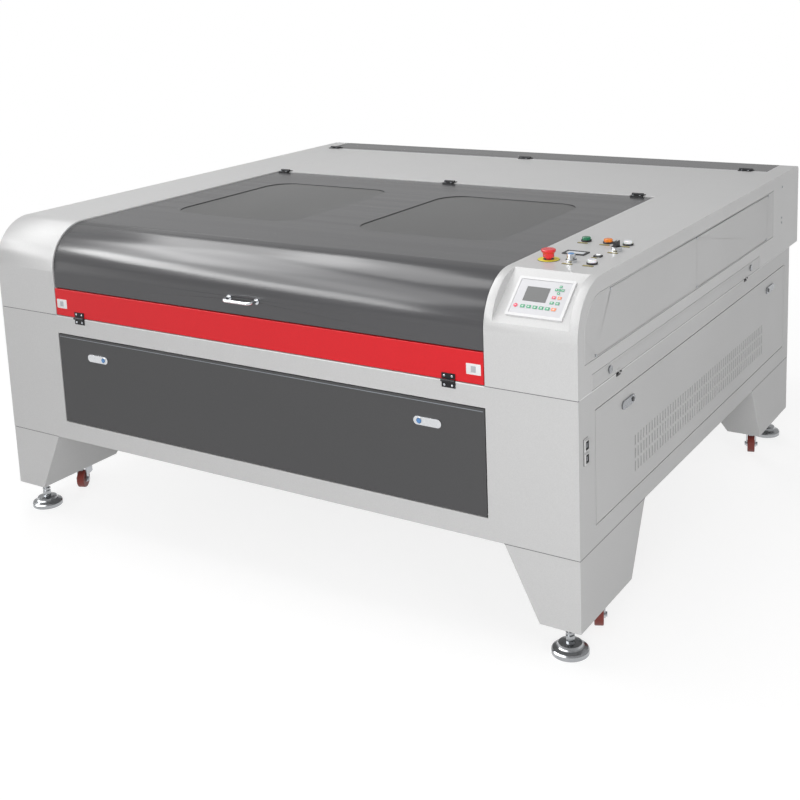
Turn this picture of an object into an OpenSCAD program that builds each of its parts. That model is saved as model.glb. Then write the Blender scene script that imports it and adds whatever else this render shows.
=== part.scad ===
// Gantry laser engraving and cutting machine with a lifting table.
// Frame: origin on the floor under the middle of the machine,
// X to the right, Y to the back, Z up, millimetres.

/* [Cabinet] */
// Width over the side walls
body_w = 2140; // [1900:10:2600]
// Depth of the lower cabinet
body_d = 1880; // [1850:10:2300]
// How far the tube housing stands out behind the lower cabinet
rear_reach = 105; // [80:5:160]
// Height of the top surface above the floor
top_z = 1022; // [980:1:1100]
// Height of the joint between lower cabinet and upper housing
seam_z = 730; // [700:1:760]
// Height of the underside of the lower cabinet
body_bottom_z = 300; // [260:5:320]
// Thickness of the outer sheet
wall = 3; // [2:0.5:4]
// Radius of the bend between front and top
corner_r = 145; // [120:1:160]

/* [Wings] */
// Width of each wing beside the lid
wing_w = 266; // [250:1:319]
// Width of the end caps beside the tube cover
cap_w = 68; // [50:1:90]
// Rounding of the end caps at the rear
cap_r = 14; // [5:1:25]

/* [Lid] */
// Distance from the front to the rear edge of the lid
lid_d = 1200; // [1100:5:1300]
// How far the lid lies below the wings
lid_drop = 3; // [2:0.5:4]
// Gap round the lid, the flap and the cover
lid_gap = 2.5; // [2:0.5:4]
// Sheet thickness of lid, flap and doors
skin = 2; // [1.5:0.5:3]
// Depth of the folded edges of the lid
lid_fold = 20; // [14:1:26]
// Width of each window
window_w = 520; // [400:5:540]
// Distance of the windows from the middle of the lid
window_x = 116; // [80:1:150]
// Front edge of the windows, from the front of the machine
window_y0 = 385; // [300:5:450]
// Rear edge of the windows, from the front of the machine
window_y1 = 1000; // [900:5:1040]
// Corner radius of the windows
window_r = 90; // [40:5:120]
// Thickness of the window panes
pane_t = 4; // [3:1:6]

/* [Front] */
// Height of the red front flap
flap_h = 91; // [80:1:100]
// Lower edge of the front door opening
door_z0 = 362; // [345:1:380]
// Upper edge of the front door opening
door_z1 = 670; // [640:1:685]
// Gap round the doors
door_gap = 3; // [2.5:0.5:4]
// Depth of the folded edges of the doors
door_fold = 16; // [14:1:20]
// Reach of the lid handle in front of the machine
handle_reach = 38; // [34:1:45]
// Distance between the handle posts
handle_span = 104; // [98:1:140]

/* [Right side] */
// Front end of the side door opening, from the front of the machine
side_y0 = 100; // [80:1:130]
// Rear end of the side door opening
side_y1 = 1816; // [1500:1:1816]
// Lower edge of the side door opening
side_z0 = 358; // [345:1:370]
// Upper edge of the side door opening
side_z1 = 676; // [640:1:685]
// Front end of the strip door, from the front of the machine
strip_y0 = 84; // [60:1:110]
// Rear end of the strip door
strip_y1 = 1508; // [1300:1:1508]
// Height of the strip door opening
strip_h = 44; // [40:1:50]
// Upper access panel: inset from the front bend
access_inset = 42; // [38:1:46]
// Upper access panel: rear end
access_y1 = 1664; // [1500:1:1664]
// Upper access panel: height above the seam
access_rise = 81; // [70:1:90]
// Upper access panel: height
access_h = 169; // [150:1:175]

/* [Legs] */
// Height of the leg bottoms above the floor
leg_z = 95; // [92:1:110]
// Width of a leg at its top
leg_top_w = 220; // [200:5:260]
// Depth of a leg at its top
leg_top_d = 440; // [400:5:480]
// How much a leg narrows towards the floor, on each inner side
leg_taper = 100; // [60:5:110]
// Distance of the feet from the outer leg faces
foot_inset = 60; // [56:1:64]
// Distance from the foot to the caster axis
caster_pitch = 185; // [130:1:230]
// Radius of the foot discs
foot_r = 51; // [40:1:52]
// Travel of the levelling feet
foot_travel = 20; // [10:1:25]

/* [Casters] */
// Radius of the caster wheels
wheel_r = 31; // [28:1:33]
// Width of the caster wheels
wheel_w = 26; // [22:1:30]
// Gap between the wheels and the floor
wheel_lift = 7; // [4:1:10]
// Trail of the casters
caster_trail = 32; // [28:1:34]

/* [Work space] */
// Height of the bed above the floor
bed_z = 748; // [740:1:752]
// Depth of the bed
bed_d = 1180; // [1000:5:1200]
// Travel of the bed
bed_travel = 200; // [100:5:220]
// Radius of the lift screws
screw_r = 12; // [10:0.5:14]
// Height of the gantry beam
beam_h = 60; // [50:1:62]
// Depth of the gantry beam
beam_d = 60; // [50:1:70]
// Middle of the parked gantry, from the front of the machine
gantry_y = 1260; // [1200:5:1300]
// Radius of the belt pulleys
pulley_r = 14; // [12:0.5:15]
// Radius of the laser tube
tube_r = 40; // [30:1:45]
// Length of the laser tube
tube_len = 1600; // [1200:10:1650]

/* [Controls] */
// Radius of the push-button caps
cap_btn_r = 12.5; // [11:0.5:13]
// Radius of the button rings
ring_r = 15; // [14.5:0.5:16]
// Radius of the stop mushroom
stop_r = 20; // [18:1:22]
// Radius of the yellow stop plate
stop_plate_r = 30; // [26:1:32]
// Travel of the push-buttons
button_travel = 3; // [2:0.5:4]
// Width of the keypad frame
keypad_w = 162; // [150:1:180]
// Height of the keypad frame
keypad_h = 124; // [110:1:130]

/* [Hidden] */
$fn = 64;

// colours
light_paint = "#c9c9c9";
white_paint = "#ececec";
grey_paint = "#58585a";
red_paint = "#d62a30";
black_steel = "#202022";
zinc = "#b9bcc0";

// places that follow from the sizes above
eps = 0.5;
side_x = body_w/2;
front_y = -(body_d + rear_reach - handle_reach)/2;
back_y = front_y + body_d;
rear_y = back_y + rear_reach;
open_x = side_x - wing_w;                 // half width between the wings
lid_x = open_x - lid_gap;                 // half width of lid and flap
lid_top_z = top_z - lid_drop;
lid_back_y = front_y + lid_d;
bend_z = top_z - corner_r;                // height of the bend's centre
flap_top_z = seam_z + flap_h;
tube_y = rear_y - 185;                    // front wall of the tube housing
lip_w = 12;                               // light lip in front of the cover
cover_y = tube_y + lip_w + 1.5;
cap_in_x = side_x - cap_w;                // inner face of the end caps
side_span = side_y1 - side_y0;
fit = 0.06;                               // running fit of pins and shafts
slip = 0.4;                               // free gap round caps and buttons

// hinges
pin_r = 2.5;
barrel_r = 4.5;
leaf_t = 2.2;
hinge_w = 42;
leaf_len = 20;
cover_hinge_w = 51;
strip_barrel_r = 2.6;
strip_pin_r = 1.3;
strip_hinge_w = 27;
strip_leaf = 9;
strip_leaf_t = 1.2;
lid_hinge_x = [-(open_x - 34), 0, open_x - 62];
cover_hinge_x = [-(cap_in_x - 40), 0, cap_in_x - 80];
flap_hinge_x = [-(open_x - 109), open_x - 109];
lid_axis_z = top_z + barrel_r;
cover_axis_z = top_z + barrel_r;
flap_axis_y = front_y - barrel_r;
flap_axis_z = seam_z + 0.5;
strip_axis_x = side_x + strip_barrel_r;
strip_hinge_y = [front_y + 252, front_y + strip_y1 - 162];

// doors: pivot pins near the lower edge
door_pin_r = 3;
door_pin_in = 5.5;
door_pin_up = 6;
jamb = 25;

// latches
latch_w = 88;
latch_h = 24;
latch_t = 4;
latch_deep = 14;
latch_btn_r = 8;
latch_btn_x = 26;
latch_z = door_z1 - 67;
latch_x = open_x - 179;
side_latch_z = side_z1 - 48;
side_latch_y = [front_y + side_y0 + 217, front_y + side_y1 - 186];

// control places on the right wing: column from the right side, row from the front
col = [196, 129, 69];
row_front = 245;
row_rear = 490;
stop_at = [side_x - col[0], front_y + row_front];
key_at = [side_x - col[1], front_y + row_front];
start_at = [side_x - col[2], front_y + row_front];
rear_at = [for (c = col) [side_x - c, front_y + row_rear]];
selector_at = [side_x - col[2], front_y + row_front + 163];
meter_at = [side_x - 160, front_y + row_front + 95];
port_at = [side_x - 88, front_y + row_front + 82];

// console: a flat face between two lips, cut into the bend of the right wing
console_lip = 24;
console_low_z = top_z - 117;
console_back = 140;
console_tilt = atan2(top_z - console_low_z, console_back);
keypad_at = [side_x - wing_w/2, front_y + console_back/2, (top_z + console_low_z)/2];
keypad_rim = 8;
keypad_t = 5;

// motion system
rail_beam = 40;
rail_w = 16;
rail_h = 12;
rail_x = open_x - rail_beam/2;
rail_beam_z = 800;
rail_top_z = rail_beam_z + 50 + rail_h;
run_gap = 0.3;
gantry_z = rail_top_z + 18;
gantry_mid_y = front_y + gantry_y;
belt_x = open_x - 53;
belt_w = 12;
belt_t = 1.5;
shaft_r = 8;
shaft_y = tube_y - 160;
shaft_z = gantry_z + beam_h + 6 + run_gap + belt_t + pulley_r;
idler_y = front_y + 90;
bed_x = open_x - 29;
bed_y0 = front_y + 60;
bed_frame = 40;
bed_h = 48;
nut_w = 70;                               // width of the side plates that carry the nuts
screw_x = bed_x - bed_frame - nut_w/2;
bed_bars = 15;
knife_t = 5;
knife_h = 30;
screw_y = [bed_y0 + 90, bed_y0 + bed_d - 90];
head_x = 620;
tube_mid_y = tube_y + 92;
tube_mid_z = 850;

// legs, feet and casters: [side of X, side of Y, swivel angle]
corners = [[-1, -1, 295], [1, -1, 295], [-1, 1, 290], [1, 1, 287]];
foot_x = side_x - foot_inset;
axle_z = wheel_lift + wheel_r;
fork_t = 3;
plate_t = 4;
axle_r = 4;
swivel_r = 20;
stud_r = 8;

// box between two corners
module slab(a, b) {
    translate(a) cube(b - a);
}

// outline drawn in (Y, Z), extruded from x0 to x1
module along_x(x0, x1) {
    translate([x0, 0, 0]) rotate([90, 0, 90]) linear_extrude(x1 - x0) children();
}

// rectangle between two corners
module rect(a, b) {
    translate(a) square(b - a);
}

// cylinders along X and Y
module rod_x(x0, x1, r) {
    translate([x0, 0, 0]) rotate([0, 90, 0]) cylinder(h = x1 - x0, r = r);
}

module rod_y(y0, y1, r) {
    translate([0, y0, 0]) rotate([-90, 0, 0]) cylinder(h = y1 - y0, r = r);
}

// rounded rectangle of straight pieces and true arcs
module round_rect(w, d, r) {
    square([w - 2*r, d], center = true);
    square([w, d - 2*r], center = true);
    for (i = [-1, 1], j = [-1, 1])
        translate([i*(w/2 - r), j*(d/2 - r)]) circle(r);
}

// outline of the front bend, set back by inset, in (Y, Z)
module front_curve(inset, y_end, z_low) {
    intersection() {
        translate([front_y + corner_r, bend_z]) circle(corner_r - inset);
        rect([front_y, bend_z - 1], [front_y + corner_r + 1, top_z]);
    }
    rect([front_y + inset, z_low], [y_end, bend_z]);
    rect([front_y + corner_r, z_low], [y_end, top_z - inset]);
}

// ---- lower cabinet -------------------------------------------------------

// frame of a door opening: the four inward folds of the wall
module jambs(w, z0, z1) {
    difference() {
        slab([-w/2 - wall, 0, z0 - wall], [w/2 + wall, jamb, z1 + wall]);
        slab([-w/2, -eps, z0], [w/2, jamb + eps, z1]);
    }
    for (s = [-1, 1])
        translate([0, door_pin_in, z0 + door_gap + door_pin_up])
            rod_x(s > 0 ? w/2 - 12 : -w/2 - wall, s > 0 ? w/2 + wall : -w/2 + 12, door_pin_r);
}

module at_side_door() {
    translate([side_x, front_y + (side_y0 + side_y1)/2, 0]) rotate([0, 0, 90]) children();
}

module back_opening() {
    slab([-545, back_y - wall - eps, 372], [545, back_y + eps, 662]);
}

module lower_cabinet() {
    color(light_paint) {
        difference() {
            slab([-side_x, front_y, body_bottom_z], [side_x, back_y, seam_z]);
            slab([-side_x + wall, front_y + wall, body_bottom_z + wall],
                 [side_x - wall, back_y - wall, seam_z - wall]);
            slab([-side_x + 28, front_y + 20, seam_z - wall - eps],
                 [side_x - 28, back_y - 20, seam_z + eps]);
            slab([-open_x, front_y - eps, door_z0], [open_x, front_y + wall + eps, door_z1]);
            at_side_door()
                slab([-side_span/2, -eps, side_z0], [side_span/2, wall + eps, side_z1]);
            back_opening();
        }
        translate([0, front_y, 0]) jambs(2*open_x, door_z0, door_z1);
        at_side_door() jambs(side_span, side_z0, side_z1);
    }
}

// one leg of folded sheet: straight outside, narrowing on its two inner sides
module leg_outline(w, taper, z0, z1) {
    polygon([[0, z0], [w - taper, z0], [w, z1], [0, z1]]);
}

module leg_solid(t) {
    intersection() {
        translate([0, leg_top_d, 0]) rotate([90, 0, 0])
            linear_extrude(leg_top_d)
                translate([t, 0]) leg_outline(leg_top_w - 2*t, leg_taper,
                    leg_z + 2*t, body_bottom_z + (t > 0 ? eps : 0));
        rotate([90, 0, 90]) linear_extrude(leg_top_w)
            translate([t, 0]) leg_outline(leg_top_d - 2*t, leg_taper,
                leg_z + 2*t, body_bottom_z + (t > 0 ? eps : 0));
    }
}

module leg() {
    difference() {
        leg_solid(0);
        leg_solid(wall);
        translate([foot_inset, foot_inset, leg_z - eps]) cylinder(h = 4*wall, r = stud_r + slip);
    }
}

// places children at a corner, with x and y running inwards from the outer faces
module at_corner(c) {
    mirror([c[0] > 0 ? 1 : 0, 0, 0]) mirror([0, c[1] > 0 ? 1 : 0, 0])
        translate([-side_x, c[1] > 0 ? -back_y : front_y, 0]) children();
}

module legs() {
    color(light_paint) for (c = corners) at_corner(c) leg();
}

// ---- upper housing -------------------------------------------------------

module cap_outline(inset) {
    rect([tube_y - wall - 1, seam_z + (inset > 0 ? inset : 0)], [rear_y - cap_r, top_z - inset]);
    rect([tube_y - wall - 1, seam_z + (inset > 0 ? inset : 0)], [rear_y - inset, top_z - cap_r]);
    translate([rear_y - cap_r, top_z - cap_r]) circle(cap_r - inset);
}

// hollow wing on the right side: outer skin, inner wall and end cap
module wing_outer() {
    along_x(open_x, side_x) front_curve(0, tube_y, seam_z);
    along_x(cap_in_x, side_x) cap_outline(0);
}

module wing_inner() {
    along_x(open_x + wall, side_x - wall) front_curve(wall, tube_y - wall, seam_z - eps);
    along_x(cap_in_x + wall, side_x - wall) cap_outline(wall);
}

module left_wing() {
    color(white_paint) mirror([1, 0, 0]) difference() {
        wing_outer();
        wing_inner();
    }
}

// space in front of the flat console face; grow widens it by a wall
module console_space(grow) {
    dy = cos(console_tilt);
    dz = sin(console_tilt);
    a = [front_y + dz*grow, console_low_z - dy*grow];
    along_x(open_x + console_lip - grow, side_x - console_lip + grow)
        polygon([
            a - 60*[dy, dz],
            a + 300*[dy, dz],
            [front_y - 60, top_z + 200]
        ]);
}

module access_outline(inset) {
    z1 = seam_z + access_rise + access_h - inset;
    intersection() {
        front_curve(access_inset + inset, front_y + access_y1 - inset,
            seam_z + access_rise + inset);
        rect([front_y, seam_z], [front_y + access_y1 - inset, z1]);
    }
}

strip_low = seam_z + 1.5;
strip_top = strip_low + strip_h;

module strip_outline(inset) {
    rect([front_y + strip_y0 + inset, strip_low + inset], [front_y + strip_y1 - inset, strip_top - inset]);
}

ledge_in = 16;
ledge_out = 8;
ledge_t = 2;
screw_shank = 2;
access_screws = [
    [front_y + 205, seam_z + access_rise + access_h - 8],
    [front_y + access_inset + 66, seam_z + access_rise + 8],
    [front_y + access_y1 - 66, seam_z + access_rise + access_h - 8],
    [front_y + access_y1 - 84, seam_z + access_rise + 8],
    [front_y + 860, seam_z + access_rise + access_h - 8],
    [front_y + 860, seam_z + access_rise + 8]
];

module screw_holes() {
    for (p = access_screws) translate([0, p[0], p[1]])
        rod_x(side_x - wall - ledge_t - 1, side_x + 1, screw_shank + 0.1);
}

// ledge behind an opening of the right side wall
module ledge() {
    along_x(side_x - wall - ledge_t, side_x - wall) difference() {
        children(0);
        children(1);
    }
}

module right_wing() {
    color(white_paint) {
        difference() {
            wing_outer();
            difference() {
                wing_inner();
                console_space(wall);
            }
            console_space(0);
            along_x(side_x - wall - eps, side_x + eps) {
                access_outline(0);
                strip_outline(0);
            }
            // holes for the controls
            for (p = concat(rear_at, [start_at]))
                translate([p[0], p[1], top_z - wall - eps]) cylinder(h = 2*wall, r = cap_btn_r + slip);
            for (p = [stop_at, key_at, selector_at])
                translate([p[0], p[1], top_z - wall - eps]) cylinder(h = 2*wall, r = 10);
        }
        difference() {
            ledge() {
                access_outline(-ledge_out);
                access_outline(ledge_in);
            }
            screw_holes();
        }
        slab([side_x - wall - ledge_t, front_y + strip_y0 - ledge_out, strip_top - 4],
             [side_x - wall, front_y + strip_y1 + ledge_out, strip_top + ledge_out]);
    }
}

// deck behind the lid and trough for the laser tube, one folded and welded piece
module rear_housing() {
    deck_y = lid_back_y + lid_gap;
    color(white_paint) {
        difference() {
            slab([-open_x, deck_y, top_z - 20], [open_x, tube_y, top_z]);
            slab([-open_x + wall, deck_y + wall, top_z - 20 - eps],
                 [open_x - wall, tube_y - wall, top_z - wall]);
        }
        difference() {
            slab([-cap_in_x, tube_y, seam_z], [cap_in_x, rear_y, top_z]);
            slab([-cap_in_x + wall, tube_y + wall, seam_z + wall],
                 [cap_in_x - wall, rear_y - wall, top_z - wall]);
            slab([-cap_in_x - eps, tube_y + lip_w, top_z - 23], [cap_in_x + eps, rear_y + eps, top_z + eps]);
        }
    }
}

module access_panel() {
    color(light_paint) difference() {
        along_x(side_x - wall, side_x) access_outline(1);
        screw_holes();
    }
}

// ---- hinges --------------------------------------------------------------

// leaf hinge with its axis along X at the origin; the fixed leaf runs to +Y,
// the moving leaf to -Y, both underneath the axis, down to -drop
module hinge_fixed(w, leaf, br, pr, drop) {
    third = w/3;
    for (s = [-1, 1]) translate([s*third, 0, 0]) rod_x(-third/2, third/2 - run_gap, br);
    rod_x(-w/2, w/2, pr);
    for (s = [-1, 1]) translate([s*third, 0, 0])
        slab([-third/2, 0, -br], [third/2 - run_gap, br + 1, -br + leaf_t]);
    slab([-w/2, br + 0.5, -br], [w/2, leaf, -br + drop]);
}

module hinge_moving(w, leaf, br, pr, low, t) {
    third = w/3;
    difference() {
        union() {
            rod_x(-third/2 + run_gap, third/2 - 2*run_gap, br);
            slab([-third/2 + run_gap, -br - 1, -br], [third/2 - 2*run_gap, 0, -br + leaf_t]);
            slab([-w/2, -leaf, -br - low], [w/2, -br - 0.5, -br + t]);
        }
        rod_x(-w, w, pr + fit);
    }
}

module at_lid_hinges() {
    for (x = lid_hinge_x) translate([x, lid_back_y + 1, lid_axis_z]) children();
}

module at_cover_hinges() {
    for (x = cover_hinge_x) translate([x, tube_y + lip_w + 0.5, cover_axis_z])
        rotate([0, 0, 180]) children();
}

// on the front face: the fixed leaf points down, the moving leaf up
module at_flap_hinges() {
    for (x = flap_hinge_x) translate([x, flap_axis_y, flap_axis_z])
        rotate([90, 0, 0]) rotate([0, 0, 180]) children();
}

module at_strip_hinges() {
    for (y = strip_hinge_y) translate([strip_axis_x, y, flap_axis_z + 0.5])
        rotate([0, 0, 90]) rotate([90, 0, 0]) rotate([0, 0, 180]) children();
}

module hinge_plates() {
    color(black_steel) {
        at_lid_hinges() hinge_fixed(hinge_w, leaf_len, barrel_r, pin_r, leaf_t);
        at_cover_hinges() hinge_fixed(cover_hinge_w, lip_w + 6, barrel_r, pin_r, leaf_t);
        at_flap_hinges() hinge_fixed(hinge_w, leaf_len, barrel_r, pin_r, leaf_t);
        at_strip_hinges() hinge_fixed(strip_hinge_w, strip_leaf, strip_barrel_r, strip_pin_r, strip_leaf_t);
    }
}

module lid_hinge_leaves() {
    color(black_steel)
        at_lid_hinges() hinge_moving(hinge_w, leaf_len, barrel_r, pin_r, lid_drop, leaf_t);
}

module cover_hinge_leaves() {
    color(black_steel)
        at_cover_hinges() hinge_moving(cover_hinge_w, leaf_len, barrel_r, pin_r, 2, leaf_t);
}

module flap_hinge_leaves() {
    color(black_steel)
        at_flap_hinges() hinge_moving(hinge_w, leaf_len, barrel_r, pin_r, 0, leaf_t);
}

// ---- lid, flap and cover -------------------------------------------------

module window_outline(grow) {
    for (s = [-1, 1])
        translate([s*(window_x + window_w/2), front_y + (window_y0 + window_y1)/2])
            round_rect(window_w + 2*grow, window_y1 - window_y0 + 2*grow, window_r + grow);
}

module lid_outline(inset) {
    front_curve(lid_drop + inset, lid_back_y, flap_top_z + door_gap);
}

// bent sheet with the window cut-outs, and a welded edge strip on three sides
module lid_shell() {
    color(grey_paint) {
        difference() {
            along_x(-lid_x, lid_x) difference() {
                lid_outline(0);
                front_curve(lid_drop + skin, lid_back_y + 1, seam_z);
            }
            translate([0, 0, bend_z]) linear_extrude(corner_r) window_outline(0);
            for (s = [-1, 1]) translate([s*handle_span/2, 0, handle_z])
                rod_y(front_y - eps, front_y + 20, 3);
        }
        for (x = [-lid_x, lid_x - skin]) along_x(x, x + skin) difference() {
            lid_outline(skin);
            front_curve(lid_drop + lid_fold, lid_back_y + 1, seam_z);
        }
        slab([-lid_x + skin, lid_back_y - skin, lid_top_z - lid_fold],
             [lid_x - skin, lid_back_y, lid_top_z - skin]);
        slab([-lid_x + skin, front_y + lid_drop + skin, flap_top_z + door_gap],
             [lid_x - skin, front_y + lid_fold, flap_top_z + door_gap + skin]);
    }
}

module lid_windows() {
    z1 = lid_top_z - skin;
    color("#6f7072aa") translate([0, 0, z1 - pane_t]) linear_extrude(pane_t) window_outline(14);
}

handle_z = flap_top_z + 52;
handle_r = 4.5;

// bow handle with two rosettes, bolted through the lid
module lid_handle() {
    face_y = front_y + lid_drop;
    bar_y = front_y - handle_reach + handle_r;
    bend = 16;
    color("#e4e6e8") {
        for (s = [-1, 1]) translate([s*handle_span/2, 0, handle_z]) {
            rod_y(face_y - 4, face_y, 9);
            rod_y(bar_y + bend, face_y - 3, handle_r);
            rod_y(face_y - 1, face_y + 12, 2.9);
        }
        translate([0, bar_y, handle_z]) rod_x(-handle_span/2 + bend, handle_span/2 - bend, handle_r);
        for (s = [0, 1]) mirror([s, 0, 0])
            translate([handle_span/2 - bend, bar_y + bend, handle_z])
                rotate([0, 0, -90]) rotate_extrude(angle = 90)
                    translate([bend, 0]) circle(handle_r);
    }
}

module front_flap() {
    z0 = seam_z + 2;
    z1 = flap_top_z;
    fold = 14;
    color(red_paint) difference() {
        slab([-lid_x, front_y, z0], [lid_x, front_y + fold, z1]);
        slab([-lid_x + skin, front_y + skin, z0 + skin], [lid_x - skin, front_y + fold + eps, z1 - skin]);
    }
}

module tube_cover() {
    x = cap_in_x - 1.5;
    z1 = top_z - 2;
    color(grey_paint) {
        slab([-x, cover_y, z1 - skin], [x, rear_y, z1]);
        slab([-x, rear_y - skin, top_z - 22], [x, rear_y, z1]);
        for (s = [-1, 1])
            slab([s > 0 ? x - skin : -x, cover_y, top_z - 18], [s > 0 ? x : -x + skin, rear_y, z1]);
        slab([-x, cover_y, top_z - 18], [x, cover_y + skin, z1]);
    }
}

// ---- doors and latches ---------------------------------------------------

// pill outline of a latch, in (X, Z) around its middle
module pill(w, h) {
    square([w - h, h], center = true);
    for (s = [-1, 1]) translate([s*(w - h)/2, 0]) circle(h/2);
}

// outline drawn in (X, Z), extruded from y0 to y1
module along_y(y0, y1) {
    translate([0, y1, 0]) rotate([90, 0, 0]) linear_extrude(y1 - y0) children();
}

// folded tray door: front face at y = 0, middle of the opening at x = 0
module tray_door(w, z0, z1, latches, latch_at) {
    x = w/2 - door_gap;
    a = z0 + door_gap;
    b = z1 - door_gap;
    pin_z = a + door_pin_up;
    difference() {
        union() {
            difference() {
                slab([-x, 0, a], [x, door_fold, b]);
                slab([-x + skin, skin, a + skin], [x - skin, door_fold + eps, b - skin]);
            }
            for (s = [0, 1]) mirror([s, 0, 0])
                slab([x - 20, skin - 0.5, a + 0.5], [x, door_pin_in + 6, pin_z + 6]);
        }
        translate([0, door_pin_in, pin_z]) {
            rod_x(-w, -x + 16, door_pin_r + fit);
            rod_x(x - 16, w, door_pin_r + fit);
        }
        for (u = latches)
            translate([u, 0, latch_at]) along_y(-eps, skin + eps) pill(latch_w - 10, latch_h - 4);
    }
}

// latch case: pill plate on the face and a body through the door
module latch_plate(side) {
    difference() {
        union() {
            along_y(-latch_t, 0) pill(latch_w, latch_h);
            along_y(-1, latch_deep) pill(latch_w - 11, latch_h - 5);
        }
        translate([side*latch_btn_x, 0, 0]) rod_y(-latch_t - eps, 9, latch_btn_r - 1 + slip);
        translate([side*latch_btn_x, 0, 0]) rod_y(-latch_t - eps, -0.5, latch_btn_r + slip);
    }
}

module latch_button(side) {
    translate([side*latch_btn_x, 0, 0]) rod_y(-latch_t - 2, 3, latch_btn_r - 1);
}

module front_door() {
    color(grey_paint) translate([0, front_y, 0])
        tray_door(2*open_x, door_z0, door_z1, [-latch_x, latch_x], latch_z);
}

module at_front_latch(s) {
    translate([s*latch_x, front_y, latch_z]) children();
}

module at_side_latch(y) {
    translate([side_x, y, side_latch_z]) rotate([0, 0, 90]) children();
}

module front_latch_plates() {
    color(zinc) for (s = [-1, 1]) at_front_latch(s) latch_plate(-s);
}

module front_latch_button_left() {
    color("#3f6fae") at_front_latch(-1) latch_button(1);
}

module front_latch_button_right() {
    color("#3f6fae") at_front_latch(1) latch_button(-1);
}

slot_pitch = 21;
slot_w = 9;
slot_h = 30;
slot_rows = 3;

// three rows of upright slots near the lower edge of the side door
module vent_slots() {
    n = floor((side_span - 500)/slot_pitch);
    for (i = [0 : n - 1], j = [0 : slot_rows - 1])
        translate([(i - (n - 1)/2)*slot_pitch, 0, side_z0 + 50 + j*(slot_h + 8)])
            slab([-slot_w/2, -eps, 0], [slot_w/2, skin + eps, slot_h]);
}

module side_door() {
    mid_y = front_y + (side_y0 + side_y1)/2;
    color(light_paint) difference() {
        at_side_door() tray_door(side_span, side_z0, side_z1,
            [for (y = side_latch_y) y - mid_y], side_latch_z);
        at_side_door() vent_slots();
    }
}

module side_latch_plates() {
    color(zinc) {
        at_side_latch(side_latch_y[0]) latch_plate(1);
        at_side_latch(side_latch_y[1]) latch_plate(-1);
    }
}

module side_latch_button_front() {
    color("#3f6fae") at_side_latch(side_latch_y[0]) latch_button(1);
}

module side_latch_button_rear() {
    color("#3f6fae") at_side_latch(side_latch_y[1]) latch_button(-1);
}

lock_r = 11;
lock_y = [front_y + strip_y0 + 112, front_y + strip_y1 - 106];
lock_z = seam_z + 26;
cam_reach = strip_h - 16;

module strip_door() {
    color(light_paint) {
        difference() {
            along_x(side_x - wall, side_x) strip_outline(1.2);
            for (y = lock_y) translate([0, y, lock_z]) rod_x(side_x - 10, side_x + 5, lock_r - 3 + slip);
        }
        at_strip_hinges() hinge_moving(strip_hinge_w, strip_leaf, strip_barrel_r, strip_pin_r, 0, strip_leaf_t);
    }
}

// round cam lock: head, barrel through the door and a cam that turns up behind
// the ledge when locked
module strip_lock(y) {
    color("#d8dadc") translate([0, y, lock_z]) {
        rod_x(side_x, side_x + 4, lock_r);
        rod_x(side_x - 14, side_x + 1, lock_r - 3);
        slab([side_x - 12, -6, -6], [side_x - 9, cam_reach, 6]);
    }
}

module strip_lock_front() {
    strip_lock(lock_y[0]);
}

module strip_lock_rear() {
    strip_lock(lock_y[1]);
}

// ---- back panel ----------------------------------------------------------

spigot_r = 75;
spigot_len = 60;
spigot_x = 300;
spigot_z = 560;
flange_t = 2.5;
flange_half = 92;

module at_exhausts() {
    for (s = [-1, 1]) translate([s*spigot_x, back_y + wall, spigot_z]) children();
}

module back_panel() {
    duct = flange_half - 15;
    color(light_paint) difference() {
        slab([-575, back_y, 342], [575, back_y + wall, 692]);
        at_exhausts() slab([-duct, -wall - eps, -duct], [duct, eps, duct]);
        for (i = [0 : 15], j = [0, 1])
            translate([(i - 7.5)*60, 0, 372 + j*34])
                slab([-22, back_y - eps, 0], [22, back_y + wall + eps, 9]);
        translate([470, 0, 640]) slab([-24, back_y - eps, -14], [24, back_y + wall + eps, 14]);
    }
}

// square flange with the collar for an exhaust hose
module exhaust_collar() {
    difference() {
        union() {
            slab([-flange_half, 0, -flange_half], [flange_half, flange_t, flange_half]);
            rod_y(0, flange_t + spigot_len, spigot_r);
        }
        rod_y(-eps, flange_t + spigot_len + eps, spigot_r - 1.5);
    }
}

// boxes on the cabinet floor beside the bed: [front, width, rear, height]
cabinet_boxes = [[520, 190, 760, 110], [860, 200, 1240, 165], [1330, 160, 1580, 90]];

// laser power supply, drives, motion controller, power inlet and exhaust collars
module electronics() {
    floor_z = body_bottom_z + wall;
    color("#8b9096") {
        at_exhausts() exhaust_collar();
        for (b = cabinet_boxes)
            slab([open_x + 10, front_y + b[0], floor_z], [open_x + 10 + b[1], front_y + b[2], floor_z + b[3]]);
        translate([470, 0, 640]) {
            slab([-28, back_y + wall, -18], [28, back_y + wall + 4, 18]);
            slab([-23.5, back_y - 30, -13.5], [23.5, back_y + wall + 1, 13.5]);
        }
    }
}

// ---- controls ------------------------------------------------------------

module at_keypad() {
    translate(keypad_at) rotate([console_tilt, 0, 0]) children();
}

module keypad_frame() {
    color("white") at_keypad() difference() {
        translate([0, 0, 0]) linear_extrude(keypad_t) round_rect(keypad_w, keypad_h, 4);
        translate([0, 0, 2]) linear_extrude(keypad_t)
            round_rect(keypad_w - 2*keypad_rim, keypad_h - 2*keypad_rim, 2);
    }
}

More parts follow.
